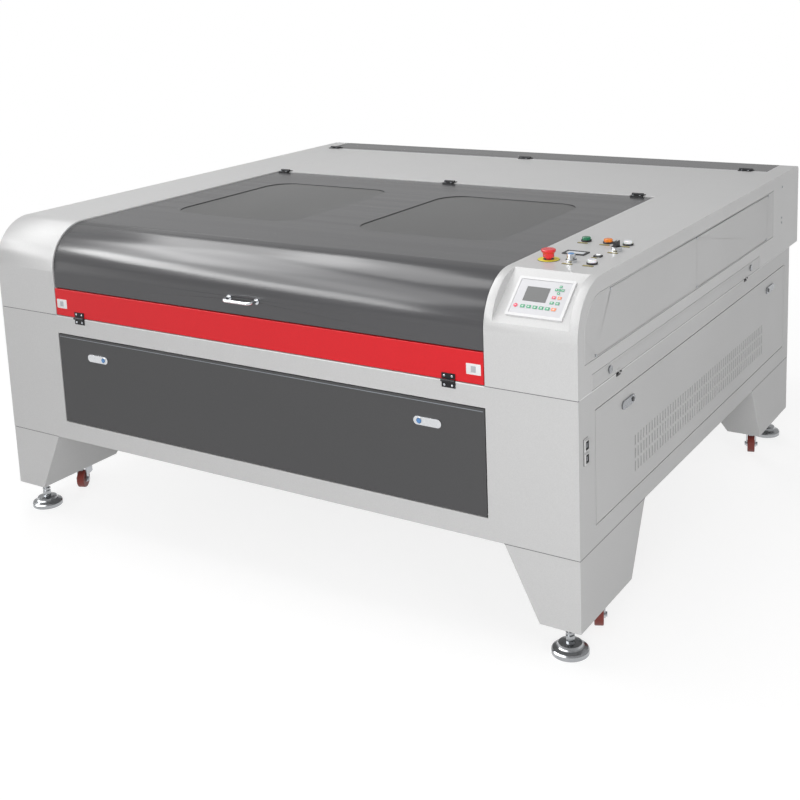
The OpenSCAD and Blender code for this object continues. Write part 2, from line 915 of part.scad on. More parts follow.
// membrane sheet with raised keys; the display window is a shallow recess
module keypad_overlay() {
    w = keypad_w - 2*keypad_rim - 1;
    h = keypad_h - 2*keypad_rim - 1;
    key = [11, 8.5];
    u = w/145;
    v = h/107;
    color("#dcdcdf") at_keypad() translate([0, 0, 2]) {
        difference() {
            translate([-w/2, -h/2, 0]) cube([w, h, 1.6]);
            translate([-48*u, -14*v, 1]) cube([66*u, 46*v, 2]);
        }
        for (p = [[44, 40], [35, 29.5], [44, 29.5], [53, 29.5], [44, 19]])
            translate([p[0]*u, p[1]*v, 1.9]) cube([8, 7.5, 1.6], center = true);
        for (p = [[36, 5], [52, 5], [36, -12], [52, -12]])
            translate([p[0]*u, p[1]*v, 1.9]) cube([key[0], key[1], 1.6], center = true);
        for (i = [0 : 5])
            translate([(-40 + 17.6*i)*u, -31*v, 1.9]) cube([key[0] + 2, key[1] + 1, 1.6], center = true);
        translate([-60*u, -31*v, 1.1]) cylinder(h = 1.6, r = 6);
    }
}

// fixed rings and plates round the controls
module panel_bezels() {
    color("#2b2b2d") {
        for (p = concat(rear_at, [start_at])) translate([p[0], p[1], top_z]) difference() {
            cylinder(h = 5, r = ring_r);
            translate([0, 0, -eps]) cylinder(h = 6, r = cap_btn_r + slip);
        }
        for (p = [key_at, selector_at]) translate([p[0], p[1], top_z]) difference() {
            cylinder(h = 7, r = ring_r);
            translate([0, 0, -eps]) cylinder(h = 8, r = 8 + slip);
        }
        // yellow stop plate and the stop's collar
        translate([stop_at[0], stop_at[1], top_z]) difference() {
            union() {
                cylinder(h = 1.2, r = stop_plate_r);
                cylinder(h = 2.4, r = 15);
            }
            translate([0, 0, -eps]) cylinder(h = 4, r = 8 + slip);
        }
        // framed meter window
        translate([meter_at[0], meter_at[1], top_z]) difference() {
            translate([-33, -20, 0]) cube([66, 40, 3]);
            translate([-27, -14, 1]) cube([54, 28, 3]);
        }
        // data sockets low on the side of the cabinet
        translate([side_x, front_y + 41, seam_z - 146]) {
            slab([0, -13, -36], [1.5, 13, 36]);
            for (z = [-18, 18]) translate([1, 0, z]) difference() {
                slab([0, -11, -14], [4, 11, 14]);
                slab([1.5, -8, -10], [5, 8, 10]);
            }
        }
        // data port
        translate([port_at[0] - 11, port_at[1] - 8, top_z]) cube([22, 16, 4]);
        // legend plates in front of the controls
        for (p = concat(rear_at, [start_at, key_at, selector_at]))
            translate([p[0] - 15, p[1] - 31, top_z]) cube([30, 9, 0.8]);
    }
}

module push_button(p) {
    translate([p[0], p[1], top_z - 6]) rotate_extrude() {
        square([cap_btn_r, 17]);
        square([cap_btn_r - 2, 19]);
        translate([cap_btn_r - 2, 17]) circle(2);
    }
}

module button_start() {
    color("white") push_button(start_at);
}

module button_green() {
    color("#1f8f5f") push_button(rear_at[0]);
}

module button_orange() {
    color("#ee8a22") push_button(rear_at[1]);
}

module button_white() {
    color("white") push_button(rear_at[2]);
}

// mushroom head on a stem
module stop_button() {
    color("#e8373c") translate([stop_at[0], stop_at[1], top_z - 8]) rotate_extrude() {
        square([8, 22]);
        polygon([[0, 15], [14, 15], [15, 16], [15.5, 26], [stop_r - 1.5, 30], [stop_r, 32], [stop_r, 35], [0, 35]]);
        translate([0, 35]) square([stop_r - 3, 3]);
        intersection() {
            translate([stop_r - 3, 35]) circle(3);
            translate([0, 35]) square(stop_r);
        }
    }
}

module key_barrel() {
    color("#dfe1e4") translate([key_at[0], key_at[1], top_z - 8]) difference() {
        union() {
            cylinder(h = 20, r = 8);
            translate([0, 0, 15 + run_gap]) cylinder(h = 16, r = 12);
        }
        translate([-1.5, -6, 27]) cube([3, 12, 6]);
    }
}

module selector_knob() {
    color("#1c1c1e") translate([selector_at[0], selector_at[1], top_z - 8]) {
        cylinder(h = 20, r = 8);
        translate([0, 0, 15 + run_gap]) cylinder(h = 6, r = 14);
        translate([-4.5, -14, 18]) cube([9, 28, 18]);
    }
}

// ---- motion system -------------------------------------------------------

rail_y0 = front_y + 40;
rail_y1 = tube_y - 40;

// side beams on the wing walls with a guide rail on each
module y_rails() {
    color("#a9acb0") for (s = [-1, 1]) {
        slab([s > 0 ? open_x - rail_beam : -open_x, rail_y0, rail_beam_z],
             [s > 0 ? open_x : -open_x + rail_beam, rail_y1, rail_beam_z + 50]);
        slab([s*rail_x - rail_w/2, rail_y0 + 70, rail_beam_z + 50],
             [s*rail_x + rail_w/2, rail_y1, rail_top_z]);
    }
}

// belt loop round two pulleys, lying in a plane across X
module belt_outline(r) {
    for (y = [idler_y, shaft_y]) translate([y, shaft_z]) circle(r);
    rect([idler_y, shaft_z - r], [shaft_y, shaft_z + r]);
}

// belts, idlers and bearing blocks, and the motor of the Y drive
module y_drive() {
    color("#303235") for (s = [-1, 1]) {
        x = s*belt_x;
        along_x(x - belt_w/2, x + belt_w/2) difference() {
            belt_outline(pulley_r + run_gap + belt_t);
            belt_outline(pulley_r + run_gap);
        }
        translate([0, idler_y, shaft_z]) rod_x(x - belt_w/2 - 1, x + belt_w/2 + 1, pulley_r - run_gap);
        // idler bracket standing on the side beam
        slab([s > 0 ? x + belt_w/2 + 1 : -open_x + 4, idler_y - 14, rail_beam_z + 50],
             [s > 0 ? open_x - 4 : x - belt_w/2 - 1, idler_y + 14, shaft_z + 12]);
        // bearing block of the drive shaft
        difference() {
            slab([s > 0 ? x + belt_w/2 + 3 : -open_x + 4, shaft_y - 20, rail_beam_z + 50],
                 [s > 0 ? open_x - 4 : x - belt_w/2 - 3, shaft_y + 20, shaft_z + 20]);
            translate([0, shaft_y, shaft_z]) rod_x(-side_x, side_x, shaft_r + fit);
            slab([s*rail_x - rail_w/2 - 0.2, shaft_y - 21, rail_beam_z + 49],
                 [s*rail_x + rail_w/2 + 0.2, shaft_y + 21, rail_top_z + 0.2]);
        }
    }
    color("#303235") {
        slab([belt_x - 110, shaft_y - 43, shaft_z - 110], [belt_x - 14, shaft_y + 43, shaft_z - 24]);
        slab([belt_x - 14, shaft_y - 20, shaft_z - 110], [open_x - rail_beam, shaft_y + 20, shaft_z - 60]);
    }
}

module y_drive_shaft() {
    color(zinc) translate([0, shaft_y, shaft_z]) {
        rod_x(-open_x + 6, open_x - 6, shaft_r);
        for (s = [-1, 1]) translate([s*belt_x, 0, 0]) rod_x(-belt_w/2 - 1, belt_w/2 + 1, pulley_r);
    }
}

// beam on two carriages, with belt clamps, motor and the second mirror
module gantry_beam() {
    y = gantry_mid_y;
    x = open_x - 8;
    color("#c4c7ca") {
        difference() {
            slab([-x, y - beam_d/2, gantry_z], [x, y + beam_d/2, gantry_z + beam_h]);
            slab([-x + 30, y - beam_d/2 + 5, gantry_z + 5], [x - 30, y + beam_d/2 - 5, gantry_z + beam_h - 5]);
            slab([-x - eps, y - beam_d/2 - eps, gantry_z + beam_h/2 - 6],
                 [x + eps, y - beam_d/2 + 3, gantry_z + beam_h/2 + 6]);
        }
        for (s = [-1, 1]) {
            // carriage straddling the rail
            difference() {
                slab([s*rail_x - 18, y - 50, rail_top_z - 9], [s*rail_x + 18, y + 50, gantry_z]);
                slab([s*rail_x - rail_w/2 - run_gap, y - 51, rail_top_z - 10],
                     [s*rail_x + rail_w/2 + run_gap, y + 51, rail_top_z + run_gap]);
            }
            // belt clamp on top of the beam
            slab([s*belt_x - 8, y - 18, gantry_z + beam_h], [s*belt_x + 8, y + 18, gantry_z + beam_h + 6]);
        }
        // cross drive motor and the mirror block at the left end
        slab([x - 150, y + beam_d/2, gantry_z + 2], [x - 90, y + beam_d/2 + 55, gantry_z + 58]);
        slab([-x + 66, y - beam_d/2 - 42, gantry_z + 6], [-x + 100, y - beam_d/2, gantry_z + beam_h]);
    }
}

// carriage plate, mirror housing, lens tube and nozzle
module laser_head() {
    y = gantry_mid_y - beam_d/2 - run_gap;
    color("#b23036") {
        slab([head_x - 45, y - 12, gantry_z - 8], [head_x + 45, y, gantry_z + beam_h + 4]);
        slab([head_x - 30, y - 58, gantry_z - 20], [head_x + 30, y - 12, gantry_z + 50]);
        translate([head_x, y - 35, 0]) {
            translate([0, 0, bed_z + 42]) cylinder(h = gantry_z - 20 - bed_z - 42, r = 17);
            translate([0, 0, bed_z + 10]) rotate_extrude()
                polygon([[0, 0], [4, 0], [14, 24], [14, 33], [0, 33]]);
        }
    }
}

// bed of four rails and knife bars, with a nut block on each lift screw
module work_table() {
    y1 = bed_y0 + bed_d;
    z0 = bed_z - bed_h;
    in_x = bed_x - bed_frame;
    span = bed_d - 2*bed_frame;
    color("#9a9da0") {
        for (s = [-1, 1])
            slab([s > 0 ? in_x : -bed_x, bed_y0, z0], [s > 0 ? bed_x : -in_x, y1, bed_z]);
        for (y = [bed_y0, y1 - bed_frame])
            slab([-in_x, y, z0], [in_x, y + bed_frame, bed_z]);
        for (i = [1 : bed_bars]) translate([0, bed_y0 + bed_frame + i*span/(bed_bars + 1), 0])
            slab([-in_x + nut_w, -knife_t/2, bed_z - knife_h], [in_x - nut_w, knife_t/2, bed_z]);
        for (s = [-1, 1]) {
            x0 = s > 0 ? in_x - nut_w : -in_x;
            difference() {
                slab([x0, bed_y0 + bed_frame, z0], [x0 + nut_w, y1 - bed_frame, bed_z - 8]);
                for (sy = screw_y)
                    translate([s*screw_x, sy, z0 - eps]) cylinder(h = bed_h, r = screw_r + fit);
            }
        }
    }
}

// four standing screws on flanges bolted to the cabinet floor
module lift_screws() {
    floor_z = body_bottom_z + wall;
    color(zinc) for (sx = [-1, 1], sy = screw_y)
        translate([sx*screw_x, sy, floor_z]) {
            cylinder(h = bed_z - 10 - floor_z, r = screw_r);
            cylinder(h = 12, r = 32);
        }
}

// glass tube on three cradles, with a cooling nipple at each end
module laser_tube() {
    floor_z = seam_z + wall;
    color("#cfe3ea") {
        translate([0, tube_mid_y, tube_mid_z]) {
            rod_x(-tube_len/2, tube_len/2, tube_r);
            for (s = [-1, 1]) translate([s*(tube_len/2 - 40), 0, 0]) cylinder(h = tube_r + 25, r = 6);
            rod_x(-tube_len/2 - 40, tube_len/2 + 40, 16);
        }
        for (i = [-1 : 1]) translate([i*tube_len/3, 0, 0]) difference() {
            slab([-20, tube_mid_y - 55, floor_z], [20, tube_mid_y + 55, tube_mid_z - 8]);
            translate([0, tube_mid_y, tube_mid_z]) rod_x(-30, 30, tube_r);
        }
    }
}

// ---- feet and casters ----------------------------------------------------

// levelling foot: stepped disc, nut and stud
module foot(c) {
    color(zinc) at_corner(c) translate([foot_inset, foot_inset, 0]) {
        rotate_extrude() {
            polygon([[0, 0], [foot_r - 1, 0], [foot_r, 1], [foot_r, 12], [foot_r - 3, 16],
                [foot_r - 14, 21], [foot_r - 17, 24], [foot_r - 19, 30], [20, 33], [0, 33]]);
            square([13, 37]);
            square([stud_r, leg_z + 60]);
        }
        translate([0, 0, 40]) cylinder(h = 11, r = 13.5, $fn = 6);
        translate([0, 0, 56]) cylinder(h = 6, r = 13.5, $fn = 6);
    }
}

module caster_base(c) {
    at_corner(c) translate([foot_inset, foot_inset + caster_pitch, 0]) {
        translate([-31, -31, leg_z - plate_t]) cube([62, 62, plate_t]);
        translate([0, 0, leg_z - plate_t - 6]) cylinder(h = 7, r = swivel_r + 3);
    }
}

module caster_plates() {
    color(zinc) for (c = corners) caster_base(c);
}

// moves children to a caster: swivel axis at the origin, trail along +X
module at_caster(c) {
    y = (c[1] > 0 ? back_y : front_y) - c[1]*(foot_inset + caster_pitch);
    translate([c[0]*foot_x, y, 0]) rotate([0, 0, c[2]]) children();
}

module caster_fork(c) {
    z1 = leg_z - plate_t - 6 - run_gap;
    half = wheel_w/2 + 2;
    color("#8f9296") at_caster(c) {
        difference() {
            union() {
                translate([0, 0, z1 - 4]) cylinder(h = 4, r = swivel_r + 5);
                slab([-16, -half - fork_t, z1 - 4], [caster_trail + 8, half + fork_t, z1]);
                for (s = [-1, 1]) translate([0, s*(half + fork_t/2), 0]) {
                    slab([-14, -fork_t/2, axle_z + 12], [caster_trail + 8, fork_t/2, z1 - 1]);
                    translate([caster_trail, 0, axle_z]) rod_y(-fork_t/2, fork_t/2, 11);
                    slab([caster_trail - 11, -fork_t/2, axle_z], [caster_trail + 8, fork_t/2, axle_z + 14]);
                }
            }
        }
        // axle with its two heads
        translate([caster_trail, 0, axle_z]) {
            rod_y(-half - fork_t - 4, half + fork_t + 4, axle_r);
            for (s = [-1, 1]) translate([0, s*(half + fork_t + 2.5), 0]) rod_y(-2.5, 2.5, 7);
        }
    }
}

module caster_wheel(c) {
    color("#7a2f2b") at_caster(c) translate([caster_trail, 0, axle_z])
        rotate([90, 0, 0]) rotate_extrude() difference() {
            union() {
                translate([0, -wheel_w/2 + 3]) square([wheel_r, wheel_w - 6]);
                translate([0, -wheel_w/2]) square([wheel_r - 3, wheel_w]);
                for (s = [-1, 1]) translate([wheel_r - 3, s*(wheel_w/2 - 3)]) circle(3);
            }
            translate([-1, -wheel_w]) square([1 + axle_r + fit, 2*wheel_w]);
        }
}

// ---- fasteners -----------------------------------------------------------

module screw_on_side(p) {
    translate([0, p[0], p[1]]) {
        rod_x(side_x, side_x + 2, 4);
        rod_x(side_x - wall - ledge_t - 3, side_x + 1, screw_shank);
    }
}

module screw_on_back(x, z) {
    translate([x, 0, z]) rod_y(back_y + wall, back_y + wall + 2.5, 5);
}

module fasteners() {
    color(zinc) {
        for (p = access_screws) screw_on_side(p);
        for (dz = [-46, -160, -178]) translate([0, tube_y - 30, top_z + dz]) rod_x(side_x, side_x + 2, 4);
        for (x = [-555, -185, 185, 555], z = [357, 677]) screw_on_back(x, z);
    }
}

// ---- nodes ---------------------------------------------------------------

lower_cabinet();
legs();
left_wing();
right_wing();
rear_housing();
keypad_frame();
keypad_overlay();
access_panel();
fasteners();
back_panel();
panel_bezels();
hinge_plates();
y_rails();
y_drive();
laser_tube();
electronics();
caster_plates();
lift_screws();
lid_shell();
lid_windows();
lid_handle();
lid_hinge_leaves();
front_flap();
flap_hinge_leaves();
tube_cover();
cover_hinge_leaves();
front_door();
front_latch_plates();
front_latch_button_left();
front_latch_button_right();
side_door();
side_latch_plates();
side_latch_button_front();
side_latch_button_rear();
strip_door();
strip_lock_front();
strip_lock_rear();
stop_button();
key_barrel();
selector_knob();
button_start();
button_green();
button_orange();
button_white();
gantry_beam();
laser_head();
y_drive_shaft();
work_table();
caster_fork(corners[0]);  // caster_fork_fl
caster_fork(corners[1]);  // caster_fork_fr
caster_fork(corners[2]);  // caster_fork_rl
caster_fork(corners[3]);  // caster_fork_rr
caster_wheel(corners[0]);  // caster_wheel_fl
caster_wheel(corners[1]);  // caster_wheel_fr
caster_wheel(corners[2]);  // caster_wheel_rl
caster_wheel(corners[3]);  // caster_wheel_rr
foot(corners[0]);  // foot_fl
foot(corners[1]);  // foot_fr
foot(corners[2]);  // foot_rl
foot(corners[3]);  // foot_rr
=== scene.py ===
# %% [markdown]
# # A flatbed laser engraving machine
# The real machine is folded sheet steel on four legs: a lower cabinet, two
# hollow wings, a bent lid with two tinted windows, a red flap and a trough for
# the laser tube at the back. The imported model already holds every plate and
# moving piece at its true size, so this lesson only gives them their finishes
# and adds the small things that a maker fits last: screws, keys, trims, bolts.

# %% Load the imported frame
import math
import bpy
from mathutils import Matrix, Vector


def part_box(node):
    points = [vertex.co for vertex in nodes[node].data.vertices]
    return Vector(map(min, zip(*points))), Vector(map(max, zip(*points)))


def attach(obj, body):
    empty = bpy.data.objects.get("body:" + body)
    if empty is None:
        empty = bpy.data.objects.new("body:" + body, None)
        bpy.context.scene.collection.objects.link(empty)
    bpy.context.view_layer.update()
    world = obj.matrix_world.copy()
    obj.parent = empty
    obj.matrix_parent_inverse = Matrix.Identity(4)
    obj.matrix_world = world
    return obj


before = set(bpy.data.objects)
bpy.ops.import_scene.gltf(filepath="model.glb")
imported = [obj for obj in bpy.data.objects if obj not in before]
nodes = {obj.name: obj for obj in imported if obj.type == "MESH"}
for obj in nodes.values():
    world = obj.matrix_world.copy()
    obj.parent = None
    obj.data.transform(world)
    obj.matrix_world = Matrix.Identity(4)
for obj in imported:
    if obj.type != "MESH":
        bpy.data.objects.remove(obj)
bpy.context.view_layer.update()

# %% [markdown]
# ## Places
# The sizes below are the ones the machine is drawn with, in millimetres. Each
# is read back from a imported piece, so that a trim stays on its plate when the
# machine is drawn wider or deeper.

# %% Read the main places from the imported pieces
MM = 0.001


def edge(node, side, axis):
    """The lowest (0) or highest (1) coordinate of a node along X, Y or Z."""
    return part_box(node)[side]["XYZ".index(axis)]


front = edge("lower_cabinet", 0, "Y")
back = edge("lower_cabinet", 1, "Y")
side = edge("lower_cabinet", 1, "X")
top = edge("right_wing", 1, "Z")
seam = edge("lower_cabinet", 1, "Z")
opening = edge("right_wing", 0, "X")
tube_wall = edge("tube_cover", 0, "Y") - 13.5 * MM
print("front", round(front, 4), "back", round(back, 4), "side", round(side, 4), "top", round(top, 4))

# %% [markdown]
# ## Camera
# The machine is seen from the front right, a little above its top, with a
# normal lens. The camera stands where the perspective of the edges puts it: the
# turn, the tilt and a small roll are angles, and a small shift keeps the
# machine in the middle of the view without bending its upright edges.

# %% Build the camera
stand = Vector((2.31312, -3.64024, 1.80005))
yaw, pitch, roll = -0.5642, 0.1883, -0.037
ahead = Vector((math.sin(yaw) * math.cos(pitch), math.cos(yaw) * math.cos(pitch), -math.sin(pitch)))
level = Vector((math.cos(yaw), -math.sin(yaw), 0))
upward = level.cross(ahead)
right = math.cos(roll) * level + math.sin(roll) * upward
up = -math.sin(roll) * level + math.cos(roll) * upward

bpy.ops.object.camera_add()
camera = bpy.context.object
camera.name = "studio_camera"
camera.matrix_world = Matrix((
    (right.x, up.x, -ahead.x, stand.x),
    (right.y, up.y, -ahead.y, stand.y),
    (right.z, up.z, -ahead.z, stand.z),
    (0, 0, 0, 1)))
camera.data.sensor_width = 36
camera.data.lens = 55.42515
camera.data.shift_x = -0.025
camera.data.shift_y = -0.24375
camera.data.clip_end = 60
bpy.context.scene.camera = camera
print("lens", round(camera.data.lens, 1), "mm, shift", camera.data.shift_x, camera.data.shift_y)

# %% [markdown]
# ## Nodes and colours
# A finish is a small network of nodes. One helper adds a node, fills in its
# sockets and links it. Colours are written as sRGB hex values, as a paint maker
# gives them, and one function turns them into the linear values light needs.

# %% Two helpers for every material
def linear(code):
    """An sRGB hex colour as linear RGBA."""
    parts = [int(code[i:i + 2], 16) / 255 for i in (1, 3, 5)]
    return tuple(c / 12.92 if c <= 0.04045 else ((c + 0.055) / 1.055) ** 2.4 for c in parts) + (1.0,)


def add_node(tree, kind, values=None, links=None, **settings):
    """Adds one node with its settings, socket values and incoming links."""
    node = tree.nodes.new(kind)
    for name, value in settings.items():
        setattr(node, name, value)
    for name, value in (values or {}).items():
        node.inputs[name].default_value = value
    for name, socket in (links or {}).items():
        tree.links.new(socket, node.inputs[name])
    return node


print("linear value of mid grey:", round(linear("#808080")[0], 3))

# %% [markdown]
# ## Studio
# The machine stands on a plain pale floor in a white room. The camera sees the
# room as pure white, also through glass. Mirrors see it at about half of that,
# as the dim end of a studio behind its lamps, and matt paint gets only a low
# even light from it, so that the lamps shape the machine.

# %% World
world = bpy.data.worlds.new("white_room")
bpy.context.scene.world = world
world.use_nodes = True
tree = world.node_tree
tree.nodes.clear()
rays = add_node(tree, "ShaderNodeLightPath")
to_camera, through_glass = rays.outputs["Is Camera Ray"], rays.outputs["Is Transmission Ray"]
seen = add_node(tree, "ShaderNodeMath", None, {0: to_camera, 1: through_glass}, operation="MAXIMUM")
fill = add_node(tree, "ShaderNodeBackground", {"Color": linear("#ffffff"), "Strength": 0.30})
dim = add_node(tree, "ShaderNodeBackground", {"Color": linear("#ffffff"), "Strength": 0.52})
white = add_node(tree, "ShaderNodeBackground", {"Color": linear("#ffffff"), "Strength": 1.0})
both = add_node(tree, "ShaderNodeMixShader", None,
                {0: rays.outputs["Is Glossy Ray"], 1: fill.outputs[0], 2: dim.outputs[0]})
both = add_node(tree, "ShaderNodeMixShader", None,
                {0: seen.outputs[0], 1: both.outputs[0], 2: white.outputs[0]})
add_node(tree, "ShaderNodeOutputWorld", None, {"Surface": both.outputs[0]})
bpy.context.scene.view_settings.view_transform = "Standard"
print("world nodes:", len(tree.nodes))

# %% [markdown]
# ### Floor
# A smooth pale floor, as wide as a studio's. For camera, mirror and glass rays
# most of its white is a plain glow, as under strong studio light, and the rest
# comes from the lamps, so the shadow under the machine stays visible. Away from
# the machine the glow takes over, so the floor meets the white room with no
# edge. Matt paint sees it as a plain pale grey.

# %% Floor
bpy.ops.object.select_all(action="DESELECT")
bpy.ops.mesh.primitive_plane_add(size=40, location=(0, 0, 0))
floor = bpy.context.object
floor.name = "studio_floor"
floor_paint = bpy.data.materials.new("matt_floor_paint")
floor_paint.use_nodes = True
tree = floor_paint.node_tree
tree.nodes.clear()
rays = add_node(tree, "ShaderNodeLightPath")
seen = add_node(tree, "ShaderNodeMath", None,
                {0: rays.outputs["Is Camera Ray"], 1: rays.outputs["Is Glossy Ray"]}, operation="MAXIMUM")
seen = add_node(tree, "ShaderNodeMath", None, {0: seen.outputs[0], 1: rays.outputs["Is Transmission Ray"]},
                operation="MAXIMUM")
speckle = add_node(tree, "ShaderNodeTexNoise", {"Scale": 3.0, "Detail": 2.0})
tone = add_node(tree, "ShaderNodeMix", {6: linear("#d6d6d6"), 7: linear("#d9d9d9")},
                {0: speckle.outputs[0]}, data_type="RGBA")
paint = add_node(tree, "ShaderNodeBsdfDiffuse", None, {"Color": tone.outputs[2]})
thin = add_node(tree, "ShaderNodeBsdfDiffuse", {"Color": linear("#949494")})
glow = add_node(tree, "ShaderNodeEmission", {"Color": linear("#ffffff"), "Strength": 0.78})
lit = add_node(tree, "ShaderNodeAddShader", None, {0: thin.outputs[0], 1: glow.outputs[0]})
spot = add_node(tree, "ShaderNodeTexCoord").outputs["Object"]
away = add_node(tree, "ShaderNodeVectorMath", None, {0: spot}, operation="LENGTH")
far = add_node(tree, "ShaderNodeMapRange", {"From Min": 1.9, "From Max": 3.4},
               {"Value": away.outputs["Value"]}, interpolation_type="SMOOTHSTEP")
bright = add_node(tree, "ShaderNodeEmission", {"Color": linear("#ffffff"), "Strength": 1.0})
lit = add_node(tree, "ShaderNodeMixShader", None,
               {0: far.outputs[0], 1: lit.outputs[0], 2: bright.outputs[0]})
both = add_node(tree, "ShaderNodeMixShader", None,
                {0: seen.outputs[0], 1: paint.outputs[0], 2: lit.outputs[0]})
add_node(tree, "ShaderNodeOutputMaterial", None, {"Surface": both.outputs[0]})
floor.data.materials.append(floor_paint)
print("floor:", floor.name)

# %% [markdown]
# ### Lamps
# Four large soft boxes light the machine: one hangs above, one stands in
# front, and one to the right and farther forward, so that the right side fades
# to the rear. A fourth stands low behind, for whoever walks round the machine:
# it lights only the back and the left side. The lamps that stand low have no
# mirror image, which would lie as a white glare on the flat top.

# %% Soft boxes
def soft_box(name, spot, target, width, height, watts):
    """A rectangular area lamp that faces the target."""
    bpy.ops.object.light_add(type="AREA", location=spot)
    lamp = bpy.context.object
    lamp.name = name
    lamp.data.shape = "RECTANGLE"
    lamp.data.size, lamp.data.size_y = width, height
    lamp.data.energy = watts
    lamp.rotation_euler = (Vector(target) - Vector(spot)).to_track_quat("-Z", "Y").to_euler()
    print(name, "radiance", round(watts / (math.pi * width * height), 2))
    return lamp


soft_box("lamp_above", (-0.7, -0.6, 4.2), (-0.3, 0.0, 0.9), 3.2, 1.7, 68)
soft_box("lamp_front", (2.4, -6.0, 2.2), (0.4, -0.9, 0.5), 3.2, 2.2, 178)
soft_box("lamp_right", (5.4, -2.9, 2.2), (1.0, -0.3, 0.5), 2.0, 2.0, 53)
soft_box("lamp_rear", (-3.4, 4.6, 1.5), (0.0, 0.6, 0.6), 3.0, 1.6, 130).visible_camera = False
for name in ("lamp_front", "lamp_right", "lamp_rear"):
    bpy.data.objects[name].visible_glossy = False

# %% [markdown]
# ### Cards
# Four white cards hang on the left. They light nothing: only their mirror image
# counts, which lies along the lid's bend as two bright bands, the lower one with
# a sharp edge. One larger lamp would brighten the paint as well, so each card is
# a lamp that matt paint doesn't see.

# %% White cards
lid_bend, card_width = (-0.29, -0.79, 0.93), 7.7
cards = {
    "card_low": ((-3.49, -4.33, 2.52), 0.85, 155),
    "card_middle": ((-3.09, -3.93, 4.4), 1.0, 46),
    "card_large": ((-2.65, -3.38, 3.8), 4.3, 310),
}
for name, (spot, height, watts) in cards.items():
    soft_box(name, spot, lid_bend, card_width, height, watts).visible_diffuse = False
soft_box("card_high", (-3.2, -0.9, 4.6), (-0.1, -0.96, 0.93), 4.2, 3.4, 150).visible_diffuse = False

# %% [markdown]
# ## Finishes
# Every finish starts as a fresh material with one shader. Only what the real
# surface shows is then linked to it, and the rest keeps its plain value.

# %% Start of a finish
def new_finish(name):
    """A fresh material, its node tree and its shader."""
    finish = bpy.data.materials.new(name)
    finish.use_nodes = True
    return finish, finish.node_tree, finish.node_tree.nodes["Principled BSDF"]


print("finishes start from", new_finish.__name__)

# %% [markdown]
# ### Powder coat
# The cabinet is sheet steel sprayed with dry paint and baked. That gives the
# eye three things: an even satin gloss, a fine wavy skin like orange peel, and
# a tone that drifts a little over a large plate. The waves are 1 to 2 mm on the
# real coat, which is too fine to show at this distance, so they are drawn about
# 5 mm wide. A slow noise also changes the roughness, as fingerprints and wiping
# do.

# %% Powder coats
def powder_coat(name, colour, deep, rough, wave=0.05, specular=0.5):
    """A baked coat on sheet steel: colour drifts towards deep, over a wavy skin."""
    finish, tree, shader = new_finish(name)
    spot = add_node(tree, "ShaderNodeTexCoord").outputs["Object"]
    drift = add_node(tree, "ShaderNodeTexNoise", {"Scale": 1.6, "Detail": 3.0, "Roughness": 0.55},
                     {"Vector": spot})
    skin = add_node(tree, "ShaderNodeTexNoise", {"Scale": 1 / (5 * MM), "Detail": 2.0, "Roughness": 0.6},
                    {"Vector": spot})
    speck = add_node(tree, "ShaderNodeTexNoise", {"Scale": 1 / (2.5 * MM), "Detail": 1.0}, {"Vector": spot})
    base = add_node(tree, "ShaderNodeMix", {6: linear(colour), 7: linear(deep)}, {0: drift.outputs[0]},
                    data_type="RGBA")
    grain = add_node(tree, "ShaderNodeMapRange",
                     {"From Min": 0.3, "From Max": 0.7, "To Min": 0.97, "To Max": 1.03},
                     {"Value": speck.outputs[0]})
    fleck = add_node(tree, "ShaderNodeMix", {0: 1.0}, {6: base.outputs[2], 7: grain.outputs[0]},
                     data_type="RGBA", blend_type="MULTIPLY")
    sheen = add_node(tree, "ShaderNodeMapRange",
                     {"From Min": 0.3, "From Max": 0.7, "To Min": rough - 0.04, "To Max": rough + 0.05},
                     {"Value": drift.outputs[0]})
    relief = add_node(tree, "ShaderNodeBump", {"Strength": wave, "Distance": 0.4 * MM},
                      {"Height": skin.outputs[0]})
    tree.links.new(fleck.outputs[2], shader.inputs["Base Color"])
    tree.links.new(sheen.outputs[0], shader.inputs["Roughness"])
    tree.links.new(relief.outputs[0], shader.inputs["Normal"])
    shader.inputs["IOR"].default_value = 1.5
    shader.inputs["Specular IOR Level"].default_value = specular
    print("coat:", name)
    return finish


print("coats come from", powder_coat.__name__)

# %% [markdown]
# The coat comes in four colours: light grey on the cabinet, off-white on the
# wings and the rear housing, dark grey on the front door and red on the flap.
# The dark and the red one mirror less of the white room, which would wash them
# out.

# %% Colours of the powder coat
light_grey_coat = powder_coat("light_grey_powder_coat", "#cacaca", "#c5c5c5", 0.42, specular=0.4)
off_white_coat = powder_coat("off_white_powder_coat", "#cecece", "#c9c9c9", 0.36, specular=0.4)
dark_grey_coat = powder_coat("dark_grey_powder_coat", "#525253", "#4e4e4f", 0.40, specular=0.18)
red_coat = powder_coat("red_powder_coat", "#db1d27", "#d31a23", 0.42, specular=0.3)

# %% [markdown]
# ### Brushed look of the lid
# The lid's coat is the same dark grey, but glossier, and the sheet was rolled,
# bent and wiped along its width. Soft streaks that run from wing to wing show
# on the bend, where the light glides over it. They are noise stretched about
# sixty times along X, and they change only the gloss and the relief. The cover
# over the laser tube has the same coat.

